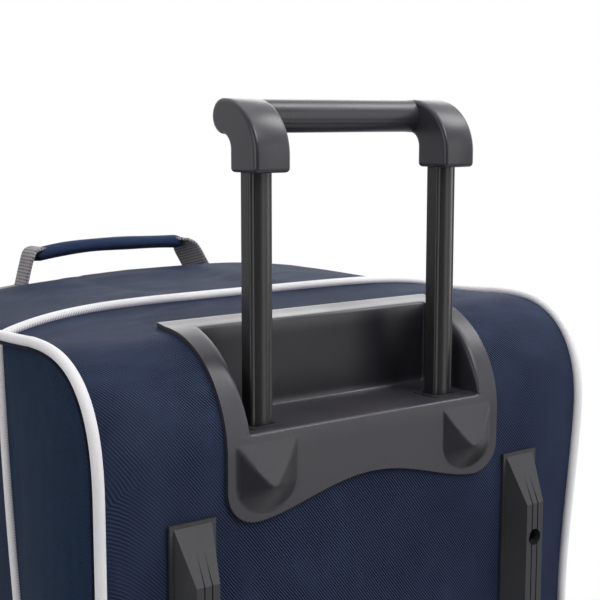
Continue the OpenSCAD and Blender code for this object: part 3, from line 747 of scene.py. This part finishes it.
def near_hard_parts(points):
    """1 where the front half lies on a moulded corner, a foot or a handle's sewn ends."""
    x, y, z = points[..., 0], points[..., 1], points[..., 2]
    low = 1 - smooth(BASE + 12 * MM, BASE + 40 * MM, z)
    handle = smooth(TOP - 60 * MM, TOP - 30 * MM, z) * smooth(60 * MM, 75 * MM, np.abs(x))
    return np.maximum.reduce([low, handle, at_side_handle(y, z), under_corner(points)])


def make_front_shell():
    """Front half in one piece: straight walls, rounded front edge and flat front round the flap."""
    rings = [front_ring(q, 0.0) for q in np.linspace(0, 1, 36)]
    rings += [front_ring(1.0, phi) for phi in np.linspace(0, np.pi / 2, 16)[1:]]
    rings += [front_ring(1.0, np.pi / 2, t) for t in np.linspace(0, 1, 5)[1:]]
    points = np.stack(rings)
    row = np.arange(len(rings))[:, None]
    waves = soft_waves(points[..., 0] + points[..., 1], points[..., 2], 23, 0.11)
    fade = smooth(0, 5, row) * (1 - smooth(46, 52, row))
    fade = fade * (1 - at_side_handle(points[..., 1], points[..., 2]))
    away = unit((points - [0, SEAM, (TOP + BASE) / 2]) * [1, 0.2, 0.25])
    points = points + away * (waves * fade)[..., None] * 1.1 * MM
    middle_ring, middle_line = points[20], points[:, 60]
    uv = np.stack(
        np.broadcast_arrays(lengths(middle_ring)[None], lengths(middle_line)[:, None]), axis=-1
    )
    obj = grid_object("front_shell_fabric", points, close_columns=True, uv=uv)
    from_seam = np.minimum(row, len(rings) - 1 - row)
    held = np.maximum(1 - smooth(2, 6, from_seam), near_hard_parts(points))
    padded(obj, held.ravel(), 0.4, 0.004, 3.5 * MM)
    dress(obj, fabric, "shell", ["front_shell"])


def make_flap():
    """Zipped front panel: square on its hinge side, round on its free side, crowned.

    Its hinge edge steps back, so that it clears the front half when it is folded open."""
    half = (flap_hi.x - flap_lo.x) / 2 - 1 * MM
    r = FLAP_CORNER_R
    s = np.linspace(0, 1, 15)[1:]
    columns = np.concatenate([np.linspace(-half, half - r, 46), half - r + r * np.sin(s * np.pi / 2)])
    rows = np.linspace(0, 1, 110)
    x, t = np.meshgrid(columns, rows)
    over = np.clip(x - (half - r), 0, r)
    trim = r - np.sqrt(np.clip(r * r - over * over, 0, None))
    z = lerp(flap_lo.z + trim, flap_hi.z - trim, t)
    puff = (1 - np.abs(x / half) ** 4) * (1 - np.abs(2 * t - 1) ** 8)
    y = FRONT - 1 * MM + FLAP_CROWN * np.clip(puff, 0, 1) ** 0.8
    y = y + puff * 1.2 * MM * soft_waves(x, z, 31, 0.13)
    from_hinge = x + half
    y = y - 2.8 * MM * (1 - smooth(0, 26 * MM, from_hinge))
    points = np.stack([x, y, z], axis=-1)
    obj = grid_object("main_flap_fabric", points, uv=np.stack([x, z], axis=-1))
    from_zip = np.minimum.reduce([half - x, z - flap_lo.z, flap_hi.z - z])
    held = np.maximum(1 - smooth(15 * MM, 75 * MM, from_hinge), 1 - smooth(4 * MM, 22 * MM, from_zip))
    padded(obj, held.ravel(), 0.6, 0.006, 5 * MM)
    mod = obj.modifiers.new("padding", "SOLIDIFY")
    mod.thickness = 3 * MM
    mod.offset = -1
    dress(obj, fabric, "flap", ["main_flap"])


# --- piping -----------------------------------------------------------------


def inset_path(path, guide, distance):
    """The path moved inwards, square to guide."""
    inward = unit(np.cross(np.gradient(path, axis=0), guide))
    middle = np.array([0, SEAM, (BASE + TOP) / 2])
    if (inward * (middle - path)).sum() < 0:
        inward = -inward
    return path + inward * distance


def make_binding(name, path, closed, guide, width):
    """Tape sewn over a seam on the inside of the bag."""
    tape = tube(name, path, width, 12, closed=closed, squash=(0.32, 1), guide=guide)
    dress(tape, lining, "shell")


def make_piping():
    """Covered cords: one loop round the centre seam and one along each gusset's back edge."""
    across = np.linspace(-SIDE, SIDE, 240)
    depth = np.full_like(across, SEAM - 1 * MM)
    over = np.stack([across, depth, seam_height(across) + PIPE_LIFT], axis=1)
    z = np.linspace(SEAM_EDGE_Z - 4 * MM, BASE + 4 * MM, 300)
    down = np.stack([np.full_like(z, SIDE + PIPE_LIFT), waist_y(z) - 1 * MM, z], axis=1)
    under = np.stack([-across, depth, np.full_like(across, BASE - 0.5 * MM)], axis=1)
    up = down[::-1] * [-1, 1, 1]
    loop = np.concatenate([over, down, under[4:-4], up])
    loop = resample(np.concatenate([loop, loop[:1]]), 3 * MM)[:-1]
    centre = tube("piping_centre_cord", loop, PIPE_R, 16, closed=True)
    dress(centre, white_cover, "shell", ["piping_centre"])
    make_binding("binding_centre", inset_path(loop, (0, 1, 0), 4.2 * MM), True, (0, 1, 0), 7 * MM)
    for side, name in ((-1, "left"), (1, "right")):
        edge = tub(SIDE, np.linspace(1.9, 5, 900))
        edge = edge[edge[:, 2] > corner_hi.z + 1 * MM]
        slope = np.gradient(edge, axis=0)
        normal = unit(np.stack([np.zeros(len(edge)), -slope[:, 2], slope[:, 1]], axis=1))
        edge = edge + normal * PIPE_LIFT + [PIPE_LIFT, 0, 0]
        path = resample(packed_corner(edge * [side, 1, 1]), 3 * MM)
        cord = tube(f"piping_{name}_cord", path, PIPE_R, 16, guide=(1, 0, 0))
        dress(cord, side_cover, "shell", [f"piping_{name}"])
        inner = inset_path(path, (1, 0, 0), 4.5 * MM) - [side * 3.5 * MM, 0, 0]
        make_binding(f"binding_{name}", inner, False, (1, 0, 0), 8 * MM)


# --- handle housing ---------------------------------------------------------


def plate_low_edge(x):
    """Lower edge of the flange plate: an arch between two round lobes."""
    arch = PLATE_ARCH * np.cos(np.pi * np.clip(np.abs(x) / (106 * MM), 0, 1) / 2) ** 1.6
    r = 25 * MM
    over = np.clip(np.abs(x) - (PLATE_HALF - r), 0, r)
    return -PLATE_DROP + arch + r - np.sqrt(np.clip(r * r - over * over, 0, None))


def boss(x, rise):
    """Raised ramp under each tube: a face that grows downwards between sloping, round-bottomed sides.

    Returns its height and a mask, 1 on its sides and 0 elsewhere, for the painted shade on those sides."""
    half = 26.3 * MM
    centre = 98.9 * MM
    round_h = 22 * MM
    low = 58.5 * MM
    dx = np.abs(np.abs(x) - centre)
    below = np.clip(-(rise + low - round_h), 0, None) * half / round_h
    inside = half - np.hypot(dx, below)
    ramp = 0.34 * (-6.8 * MM - rise)
    swell = 10.6 * MM * (1 - np.clip(1 - inside / half, 0, 1) ** 1.3)
    height = np.clip(np.minimum(ramp, swell), 0, None)
    return height, smooth(0, 1.2 * MM, ramp - swell) * smooth(0, 0.4 * MM, height)


def housing_columns():
    """Across the housing, from left to right: each column's place from -1 to 1, how far it lies out on
    the flange, and how far it lies in the cup."""
    n_flange, n_wall, n_mid = 11, 16, 200
    out = np.sin(np.linspace(0, 1, n_flange) * np.pi / 2)
    wall = np.linspace(0, 1, n_wall + 1)[1:-1]
    middle = np.linspace(-1, 1, n_mid)
    edge = np.ones(n_flange + n_wall - 1)
    place = np.concatenate([-edge, middle, edge])
    flat = np.zeros(n_flange)
    flange = np.concatenate([out[::-1], np.zeros(len(place) - 2 * n_flange), out])
    into = np.concatenate([flat, wall, np.ones(n_mid), wall[::-1], flat])
    return place, flange, into


def housing_surface():
    """Rows of points up the housing's outside, and how much painted shade each point gets: on the ramps'
    sides and on the cup's deep wall.
    """
    place, flange, into = housing_columns()
    rows, painted_shades = [], []

    def row_x(rise):
        outer = PLATE_HALF + 1 * MM * smooth(60 * MM, HOUSING_TOP, rise)
        return place * lerp(CUP_HALF, outer, flange)

    for t in np.linspace(0, 1, 62, endpoint=False):
        x = row_x(0.0)
        rise = lerp(plate_low_edge(x), 0, t)
        point, normal = tub_at(x, rise)
        height, side = boss(x, rise)
        rows.append(point + normal * (PLATE_T + height)[:, None])
        # Painted shade on the ramps' steep sides.
        painted_shades.append(0.5 * side)
    for t in np.linspace(0, 1, 66):
        x = row_x(t * CUP_TOP)
        point, normal = tub_at(x, t * CUP_TOP)
        first = tub_at(x, 0.0)[0]
        last, last_normal = tub_at(x, CUP_TOP)
        top_z = (last + last_normal * PLATE_T)[:, 2]
        y = lerp(first[:, 1] - PLATE_T, BACK + CUP_DEPTH, min(1, 2 * t))
        z = lerp(FLOOR, top_z, max(0, 2 * t - 1))
        inside = np.stack([x, y, z], axis=-1)
        rows.append(lerp(point + normal * PLATE_T, inside, into[:, None]))
        # Painted shade on the cup's deep wall, fading out before its lip.
        painted_shades.append(0.55 * into ** 2 * smooth(0.5, 0.56, t) * (1 - smooth(0.9, 0.98, t)))
    for t in np.linspace(0, 1, 12)[1:]:
        rise = lerp(CUP_TOP, HOUSING_TOP, t)
        point, normal = tub_at(row_x(rise), rise)
        rows.append(point + normal * PLATE_T)
        painted_shades.append(0 * place)
    return np.stack(rows), np.stack(painted_shades)


def round_housing(bm):
    """Rounds the cup's edges, most of all its lip, and turns the rim in to give it thickness."""
    bmesh.ops.remove_doubles(bm, verts=bm.verts, dist=1e-5)
    free = [v for v in bm.verts if not v.is_boundary]
    cup = [v for v in free if v.co.z > FLOOR - 4 * MM]
    lip = [v for v in free if abs(v.co.z - FLOOR) < 6 * MM and v.co.y < BACK + 14 * MM]
    axes = {"use_axis_x": True, "use_axis_y": True, "use_axis_z": True}
    for group in [cup] * 6 + [lip] * 10:
        bmesh.ops.smooth_vert(bm, verts=group, factor=0.5, **axes)
    rim = [e for e in bm.edges if e.is_boundary]
    for part in bmesh.ops.extrude_edge_only(bm, edges=rim)["geom"]:
        if isinstance(part, bmesh.types.BMVert):
            part.co -= outward(part.co) * (PLATE_T + 1.5 * MM)
    bmesh.ops.recalc_face_normals(bm, faces=bm.faces)


def make_housing():
    """Moulded recess for the trolley, with its flange and the two ramps below it."""
    points, painted_shades = housing_surface()
    obj = grid_object("handle_housing_shell", points[:, ::-1])
    # Painted shade, kept on the mesh for the housing's material.
    layer = obj.data.attributes.new("painted_shade", "FLOAT", "POINT")
    layer.data.foreach_set("value", painted_shades[:, ::-1].astype(np.float32).ravel())
    edit(obj, round_housing)
    bevel(obj, 1.3 * MM, 3, 55)
    obj.data.shade_smooth()
    dress(obj, housing_plastic, "shell", ["handle_housing"])


def outward(p):
    """Outward normal of the tub's middle at a point on it."""
    turn = math.atan2(p.z - FLOOR - TURN_Z, BACK + TURN_R - p.y)
    turn = min(max(turn, 0), math.pi / 2)
    return Vector((0, -math.cos(turn), math.sin(turn)))


# --- trolley grip -----------------------------------------------------------


def arc(cy, cz, r, start, end, n):
    """Points (y, z) on an arc, angles in degrees."""
    a = np.radians(np.linspace(start, end, n))
    return np.stack([cy + r * np.cos(a), cz + r * np.sin(a)], axis=1)


def prism_x(name, outline, x0, x1, radius):
    """A (y, z) outline drawn out along X, with both ends' edges rounded."""
    ahead = unit(np.roll(outline, -1, 0) - np.roll(outline, 1, 0))
    inward = np.stack([-ahead[:, 1], ahead[:, 0]], axis=1)
    turn = np.linspace(0, np.pi / 2, 5)
    from_end = radius * (1 - np.cos(turn))
    inset = radius * (1 - np.sin(turn))
    rows = []
    for x, far in zip(np.concatenate([x0 + from_end, x1 - from_end[::-1]]), [*inset, *inset[::-1]]):
        yz = outline + inward * far
        rows.append(np.column_stack([np.full(len(yz), x), yz]))
    obj = grid_object(name, np.stack(rows), close_columns=True)

    def cap(bm):
        bm.verts.ensure_lookup_table()
        count = len(outline)
        bm.faces.new([bm.verts[i] for i in range(count)])
        last = len(bm.verts) - count
        bm.faces.new([bm.verts[last + i] for i in range(count)])
        bmesh.ops.recalc_face_normals(bm, faces=bm.faces)

    edit(obj, cap)
    smooth_sides(obj.data)
    return obj


def elbow_outline(reach, height):
    """Side view of an elbow from its back lower corner: square foot, round back, and the bar's end."""
    foot_depth = 33.5 * MM
    turn = np.array([43, 41]) * MM
    corner = 3.3 * MM
    fillet = 11 * MM
    bar_y = reach - BAR_R
    bar_z = height - BAR_R
    fillet_y = foot_depth + fillet
    fillet_z = bar_z - math.sqrt((BAR_R + fillet) ** 2 - (fillet_y - bar_y) ** 2)
    meet = math.degrees(math.atan2(fillet_z - bar_z, fillet_y - bar_y))
    return np.concatenate(
        [
            arc(corner, corner, corner, 180, 270, 5),
            arc(foot_depth - corner, corner, corner, 270, 360, 5),
            arc(fillet_y, fillet_z, fillet, 180, 180 + meet, 14)[:-1],
            arc(bar_y, bar_z, BAR_R, meet, 90, 26),
            [turn[0], height - turn[1]] + arc(0, 0, 1, 90, 180, 26) * turn,
        ]
    )


def make_bar(span, y, z):
    """Bar between the elbows, a little thicker where it meets them, with a fine parting groove."""
    x = np.linspace(-span - 2 * MM, span + 2 * MM, 120)
    gap = np.clip(span - np.abs(x), 0, None)
    radius = 12.5 * MM + 0.4 * MM * np.exp(-gap / (3 * MM))
    angle = np.linspace(0, 2 * np.pi, 72, endpoint=False)
    groove = 0.25 * MM * np.exp(-(((np.degrees(angle) - 196) / 4) ** 2))
    r = radius[:, None] - groove[None]
    across = np.broadcast_to(x[:, None], r.shape)
    points = np.stack([across, y + r * np.cos(angle), z + r * np.sin(angle)], axis=-1)
    return grid_object("bar", points[:, ::-1], close_columns=True)


def make_grip():
    """Trolley grip: an elbow over each tube and a bar between them."""
    outline = elbow_outline(grip_hi.y - grip_lo.y, grip_hi.z - grip_lo.z) + [grip_lo.y, grip_lo.z]
    half = grip_hi.x - TUBE_X
    centres = (-TUBE_X, TUBE_X)
    parts = [prism_x("elbow", outline, x - half, x + half, 3.1 * MM) for x in centres]
    parts.append(make_bar(TUBE_X - half, grip_hi.y - BAR_R, grip_hi.z - BAR_R))
    obj = joined("handle_grip_moulding", parts)
    dress(obj, grip_plastic, "trolley", ["handle_grip"])


# --- carrying handles -------------------------------------------------------


def band(name, centres, widths, across, thickness):
    """Flat webbing along centres, each with a half width and a direction across it."""
    centres = np.asarray(centres, float)
    ahead = unit(np.gradient(centres, axis=0))
    across = np.asarray(across, float)
    across = unit(across - (across * ahead).sum(1)[:, None] * ahead)
    normal = np.cross(ahead, across)
    half = thickness / 2
    k = np.linspace(-1, 1, 9)
    top = [(t, half) for t in k]
    profile = top + [(1.03, 0)] + [(t, -half) for t in k[::-1]] + [(-1.03, 0)]
    rows = []
    uvs = []
    for c, w, a, n, s in zip(centres, widths, across, normal, lengths(centres)):
        rows.append([c + a * (t * w) + n * h for t, h in profile])
        uvs.append([(s, t * w) for t, h in profile])
    obj = grid_object(name, np.array(rows), close_columns=True, uv=np.array(uvs))
    fill_ends(obj)
    edit(obj, lambda bm: bmesh.ops.recalc_face_normals(bm, faces=bm.faces))
    obj.data.shade_smooth()
    return obj


def curve_points(anchors, n):
    """Smooth path (Catmull-Rom) through a few anchors."""
    p = np.asarray(anchors, float)
    p = np.concatenate([[2 * p[0] - p[1]], p, [2 * p[-1] - p[-2]]])
    out = []
    for s in np.linspace(0, len(p) - 3 - 1e-9, n):
        k = int(s)
        t = s - k
        a, b, c, d = p[k : k + 4]
        bend = (2 * a - 5 * b + 4 * c - d) * t * t + (3 * b - a - 3 * c + d) * t ** 3
        out.append(0.5 * (2 * b + (c - a) * t + bend))
    return np.array(out)


def make_wrap(name, path, radius, sides, body, squash=(1, 1)):
    """Padded fabric grip along a path, standing for its body's wrap."""
    wrap = tube(name, path, radius, sides, squash=squash)
    fill_ends(wrap)
    dress(wrap, wrap_fabric, body, [f"{body}_wrap"])


def make_leg(name, anchors, widths, across, replaces):
    """Webbing leg along a smooth path through its anchors, with no body of its own."""
    leg = band(name, curve_points(anchors, len(widths)), widths, across, 3 * MM)
    dress(leg, webbing, None, replaces)
    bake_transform(leg)


def make_grab_wrap(lo, hi, flat):
    """Padded grip, flattened and bowed. Returns the heights of its two ends' centres."""
    r = (hi.z - lo.z) / 2
    crest = hi.z + 1 * MM - flat * r
    x = np.linspace(-hi.x, hi.x, 60)
    sag = lerp(7 * MM, 2 * MM, smooth(-hi.x, hi.x, x)) * np.abs(x / hi.x) ** 2.2
    path = np.stack([x, np.full_like(x, (lo.y + hi.y) / 2), crest - sag], axis=1)
    swell = 1 - 0.2 * smooth(hi.x - 5 * MM, hi.x, np.abs(x)) + 0.03 * np.sin(x * 90)
    make_wrap("grab_wrap", path, r * swell, 24, "grab_handle", (flat, 1))
    return path[0, 2], path[-1, 2]


def make_grab_handle():
    """Top handle. Its left leg stands straight, its right leg is twisted and leans out."""
    lo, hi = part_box("grab_handle_wrap")
    leg_lo, leg_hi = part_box("grab_handle_webbing")
    y = (lo.y + hi.y) / 2
    half = hi.x
    flat = 0.66
    end_left, end_right = make_grab_wrap(lo, hi, flat)
    t = np.linspace(0, 1, 34)
    widths = lerp(12 * MM, 15 * MM, smooth(0.1, 0.6, t)) + 3 * MM * smooth(0.8, 1, t)
    widths = widths * lerp(0.5, 1, smooth(0.04, 0.2, t))
    # Of each leg: its twist in radians, how far out its foot lies, how far its top lies over the grip,
    # and how far its foot lies below the CAD webbing.
    for side, name, end_z, turn, foot, over, sag in (
        (-1, "left", end_left, 0.1, 96 * MM, 0.5 * MM, 9 * MM),
        (1, "right", end_right, -0.6, 104 * MM, -3 * MM, 3 * MM),
    ):
        top = end_z + flat * (hi.z - lo.z) / 2 + over
        anchors = [
            (side * (half - 12 * MM), y, top - 1 * MM),
            (side * (half - 3 * MM), y, top),
            (side * (half + 4 * MM), y, top - 4 * MM),
            (side * lerp(half + 6 * MM, foot, 0.4), y, lerp(end_z, leg_lo.z - sag, 0.45)),
            (side * foot, y, leg_lo.z - 2 * MM - sag),
            (side * (foot + 3 * MM), y, leg_lo.z - 7 * MM - sag),
        ]
        yaw = turn * smooth(0.15, 0.6, t)
        across = np.stack([np.sin(yaw), np.cos(yaw), 0 * t], axis=1)
        stands_for = ["grab_handle_webbing"] if side < 0 else []
        make_leg(
            f"grab_webbing_{name}",
            anchors,
            widths,
            across,
            stands_for,
        )


def make_side_handle(side, name):
    """Upright handle on one side: a padded grip and two webbing legs folded where they are sewn on."""
    wrap_lo, wrap_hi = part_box(f"side_handle_{name}_wrap")
    x = (wrap_lo.x + wrap_hi.x) / 2
    y = (wrap_lo.y + wrap_hi.y) / 2
    r = (wrap_hi.y - wrap_lo.y) / 2
    half = (wrap_hi.z - wrap_lo.z) / 2
    mid = (wrap_hi.z + wrap_lo.z) / 2
    z = np.linspace(-half, half, 60)
    path = np.stack([x - side * 3 * MM * np.abs(z / half) ** 2.2, np.full_like(z, y), mid + z], axis=1)
    swell = 1 - 0.25 * smooth(half - 6 * MM, half, np.abs(z))
    body = f"side_handle_{name}"
    make_wrap(f"side_wrap_{name}", path, r * swell, 20, body)
    fold_x = side * (SIDE + 3 * MM)
    widths = np.full(30, 13 * MM)
    across = np.tile([0.0, 1.0, 0.0], (len(widths), 1))
    for k, end in ((-1, "lower"), (1, "upper")):
        anchors = [
            (x + side * (r - 1 * MM), y, mid + k * (half - 20 * MM)),
            (x + side * r, y, mid + k * (half - 4 * MM)),
            (x + side * 2 * MM, y, mid + k * (half + 8 * MM)),
            (fold_x + side * 9 * MM, y, mid + k * (half + 20 * MM)),
            (fold_x, y, mid + k * (half + 34 * MM)),
        ]
        stands_for = [f"side_handle_{name}_webbing"] if k < 0 else []
        make_leg(
            f"side_webbing_{name}_{end}",
            anchors,
            widths,
            across,
            stands_for,
        )


# --- zip --------------------------------------------------------------------


def make_zip():
    """Tape and coil round three sides of the flap."""
    offset = 7 * MM
    half = flap_hi.x + offset
    r = FLAP_CORNER_R + offset
    low, high = flap_lo.z - offset, flap_hi.z + offset
    start = tape_lo.x
    corner_a = arc(half - r, low + r, r, -90, 0, 24)
    corner_b = arc(half - r, high - r, r, 0, 90, 24)
    path = np.concatenate([[[start, low]], corner_a, corner_b, [[start, high]]])
    path = np.column_stack([path[:, 0], np.full(len(path), tape_lo.y + 0.4 * MM), path[:, 1]])
    path = resample(path, 3 * MM)
    across = np.cross(np.gradient(path, axis=0), [0, 1, 0])
    tape = band("zip_tape", path, np.full(len(path), 7 * MM), across, 0.8 * MM)
    dress(tape, lining, "shell", ["main_zip_tape"])
    raised = resample(path + [0, 1.2 * MM, 0], 0.5 * MM)
    pitch = 1.8 * MM
    length = np.arange(len(raised)) * 0.5 * MM
    sideways = np.cross(unit(np.gradient(raised, axis=0)), [0, 1, 0])
    turn = 2 * np.pi * length / pitch
    coil = raised + sideways * (2.2 * MM * np.sin(turn))[:, None]
    coil[:, 1] += 0.5 * MM * np.cos(turn)
    teeth = tube("zip_coil", coil, 0.45 * MM, 5)
    dress(teeth, inner_plastic, "shell")


# --- patches, CAD nodes -----------------------------------------------------


def make_patches():
    """Sewn webbing ends beside the handles, lying on the fabric."""
    lo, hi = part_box("grab_handle_patches")
    parts = []
    for side in (-1, 1):
        x = side * np.linspace(hi.x - 26 * MM, hi.x, 12)
        y = (lo.y + hi.y) / 2 + 5 * MM
        over = max(0.0, y - (FRONT - FRONT_TOP_R))
        z = TOP - FRONT_TOP_R + math.sqrt(FRONT_TOP_R ** 2 - over ** 2) - crest_drop(x) + 0.6 * MM
        centres = np.stack([x, np.full_like(x, y), z], axis=1)
        across = np.tile([0.0, 1.0, 0.0], (len(x), 1))
        parts.append(band("patch", centres, np.full(len(x), 14 * MM), across, 1.6 * MM))
    obj = joined("grab_patches", parts)
    dress(obj, webbing, "shell", ["grab_handle_patches"])


# Each CAD node's material and its edge radius in millimetres.
SINGLE_LOOKS = {
    "back_board": (board, 0.5),
    "base_board": (board, 0.5),
    "base_plate": (rail_plastic, 1.0),
    "housing_screws": (screw_steel, 0.2),
    "tube_bracket": (inner_plastic, 0.8),
    "bracket_screws": (screw_steel, 0.3),
    "rail_screws": (screw_steel, 0.4),
    "rail_nuts": (screw_steel, 0.3),
    "axle_clips": (screw_steel, 0.1),
    "foot_screws": (screw_steel, 0.3),
    "side_handle_patches": (webbing, 0.4),
}
LEFT_AND_RIGHT_LOOKS = {
    "guide_bush": (inner_plastic, 0.2),
    "outer_tube": (bare_tube, 0.3),
    "inner_tube": (black_tube, 0.4),
    "tube_plug": (inner_plastic, 0.4),
    "skid_rail": (rail_plastic, 0.9),
    "wheel_housing": (rail_plastic, 1.2),
    "wheel_tyre": (tyre_rubber, 0.0),
    "wheel_hub": (hub_plastic, 0.5),
    "wheel_bearings": (bare_tube, 0.2),
    "axle": (screw_steel, 0.5),
    "front_foot": (foot_rubber, 1.5),
}
UPPER_AND_LOWER_LOOKS = {
    "zip_slider": (zip_metal, 0.6),
    "zip_pull": (inner_plastic, 0.6),
}


def dress_node(name, material, edge):
    """Gives a CAD node its material and rounded edges. Its mesh stays as it is."""
    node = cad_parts[name]
    node.data.materials.clear()
    node.data.materials.append(material)
    if edge:
        bevel(node, edge * MM, 2, 30)


def dress_nodes():
    for name, look in SINGLE_LOOKS.items():
        dress_node(name, *look)
    for ends, looks in (
        (("left", "right"), LEFT_AND_RIGHT_LOOKS),
        (("upper", "lower"), UPPER_AND_LOWER_LOOKS),
    ):
        for name, look in looks.items():
            for end in ends:
                dress_node(f"{name}_{end}", *look)


# --- stage ------------------------------------------------------------------


def make_floor():
    """Pale floor disc that fades into the white surroundings."""
    radius = 1.55
    bpy.ops.mesh.primitive_circle_add(vertices=96, radius=radius, fill_type="NGON")
    floor = bpy.context.object
    floor.name = "floor"
    s = Shader("pale_floor", (0.82, 0.82, 0.82), 0.7)
    distance = s.node("VectorMath", {0: s.coords()}, operation="LENGTH").outputs["Value"]
    fade = s.span(distance, 0, 1, 0.75, radius - 0.05)
    clear = s.node("BsdfTransparent").outputs[0]
    mix = s.node("MixShader", {0: fade, 1: s.bsdf.outputs[0], 2: clear}).outputs[0]
    s.put(s.tree.nodes["Material Output"], "Surface", mix)
    floor.data.materials.append(s.mat)


def make_world():
    """White for the camera; for light and reflections a bright sky and background and a dim room."""
    world = bpy.data.worlds.new("studio")
    bpy.context.scene.world = world
    world.use_nodes = True
    world.node_tree.nodes.clear()
    w = Nodes(world.node_tree)
    incoming = w.node("NewGeometry").outputs["Incoming"]
    ray = w.node("LightPath").outputs
    sky = {0: incoming, 1: (-0.55, -0.65, -0.52)}
    towards = w.node("VectorMath", sky, operation="DOT_PRODUCT").outputs["Value"]
    bright = w.span(towards, 0.18, 1.0, -0.15, 0.4)
    share = w.span(ray["Is Diffuse Ray"], 1.0, 0.55)
    white = {"Color": (1, 1, 1, 1)}
    room = w.node("Background", {**white, "Strength": w.math("MULTIPLY", bright, share)}).outputs[0]
    plain = w.node("Background", {**white, "Strength": 1.0}).outputs[0]
    mix = w.node("MixShader", {0: ray["Is Camera Ray"], 1: room, 2: plain}).outputs[0]
    w.node("OutputWorld", {0: mix})


def area_light(name, place, target, size, power):
    """Rectangular soft light that faces target."""
    data = bpy.data.lights.new(name, "AREA")
    data.shape = "RECTANGLE"
    data.size, data.size_y = size
    data.energy = power
    obj = link(name, data)
    obj.location = place
    obj.rotation_euler = (Vector(target) - Vector(place)).to_track_quat("-Z", "Y").to_euler()


def make_lights():
    """Soft lights all round, strongest from high behind the bag and from its left."""
    middle = (0, -0.1, 0.8)
    area_light("top_softbox", (0.0, 0.0, 2.8), middle, (1.8, 1.8), 9)
    area_light("high_key", (0.3, -2.3, 3.1), middle, (1.4, 1.4), 42)
    area_light("lip_softbox", (1.5, -0.6, 2.7), middle, (0.9, 0.9), 16)
    area_light("back_softbox", (1.2, -2.1, 0.95), (0, -0.2, 0.85), (1.2, 2.0), 11)
    area_light("rear_softbox", (1.8, 2.3, 2.2), (0, 0, 1.0), (2.0, 1.4), 19)
    area_light("left_softbox", (-2.5, -0.6, 1.3), (0, -0.2, 0.9), (2.0, 2.0), 24)
    area_light("right_softbox", (2.5, -0.3, 1.5), (0, -0.2, 1.0), (2.0, 1.8), 7)


def make_camera():
    """The photographer's place: behind the bag, to its left, level with the grip."""
    data = bpy.data.cameras.new("camera")
    data.lens = 77.4
    data.sensor_width = 36
    obj = link("camera", data)
    obj.location = (-0.620, BACK - 0.743, FLOOR + 0.224)
    heading = math.radians(36.65)
    pitch = math.radians(8.06)
    obj.rotation_euler = (math.pi / 2 - pitch, 0, -heading)
    bpy.context.scene.camera = obj


make_rear_panel()
make_gusset(-1, "left")
make_gusset(1, "right")
make_front_shell()
make_flap()
make_piping()
make_housing()
make_grip()
make_grab_handle()
make_side_handle(-1, "left")
make_side_handle(1, "right")
make_zip()
make_patches()
dress_nodes()
make_floor()
make_world()
make_lights()
make_camera()
bpy.context.scene.view_settings.view_transform = "Standard"
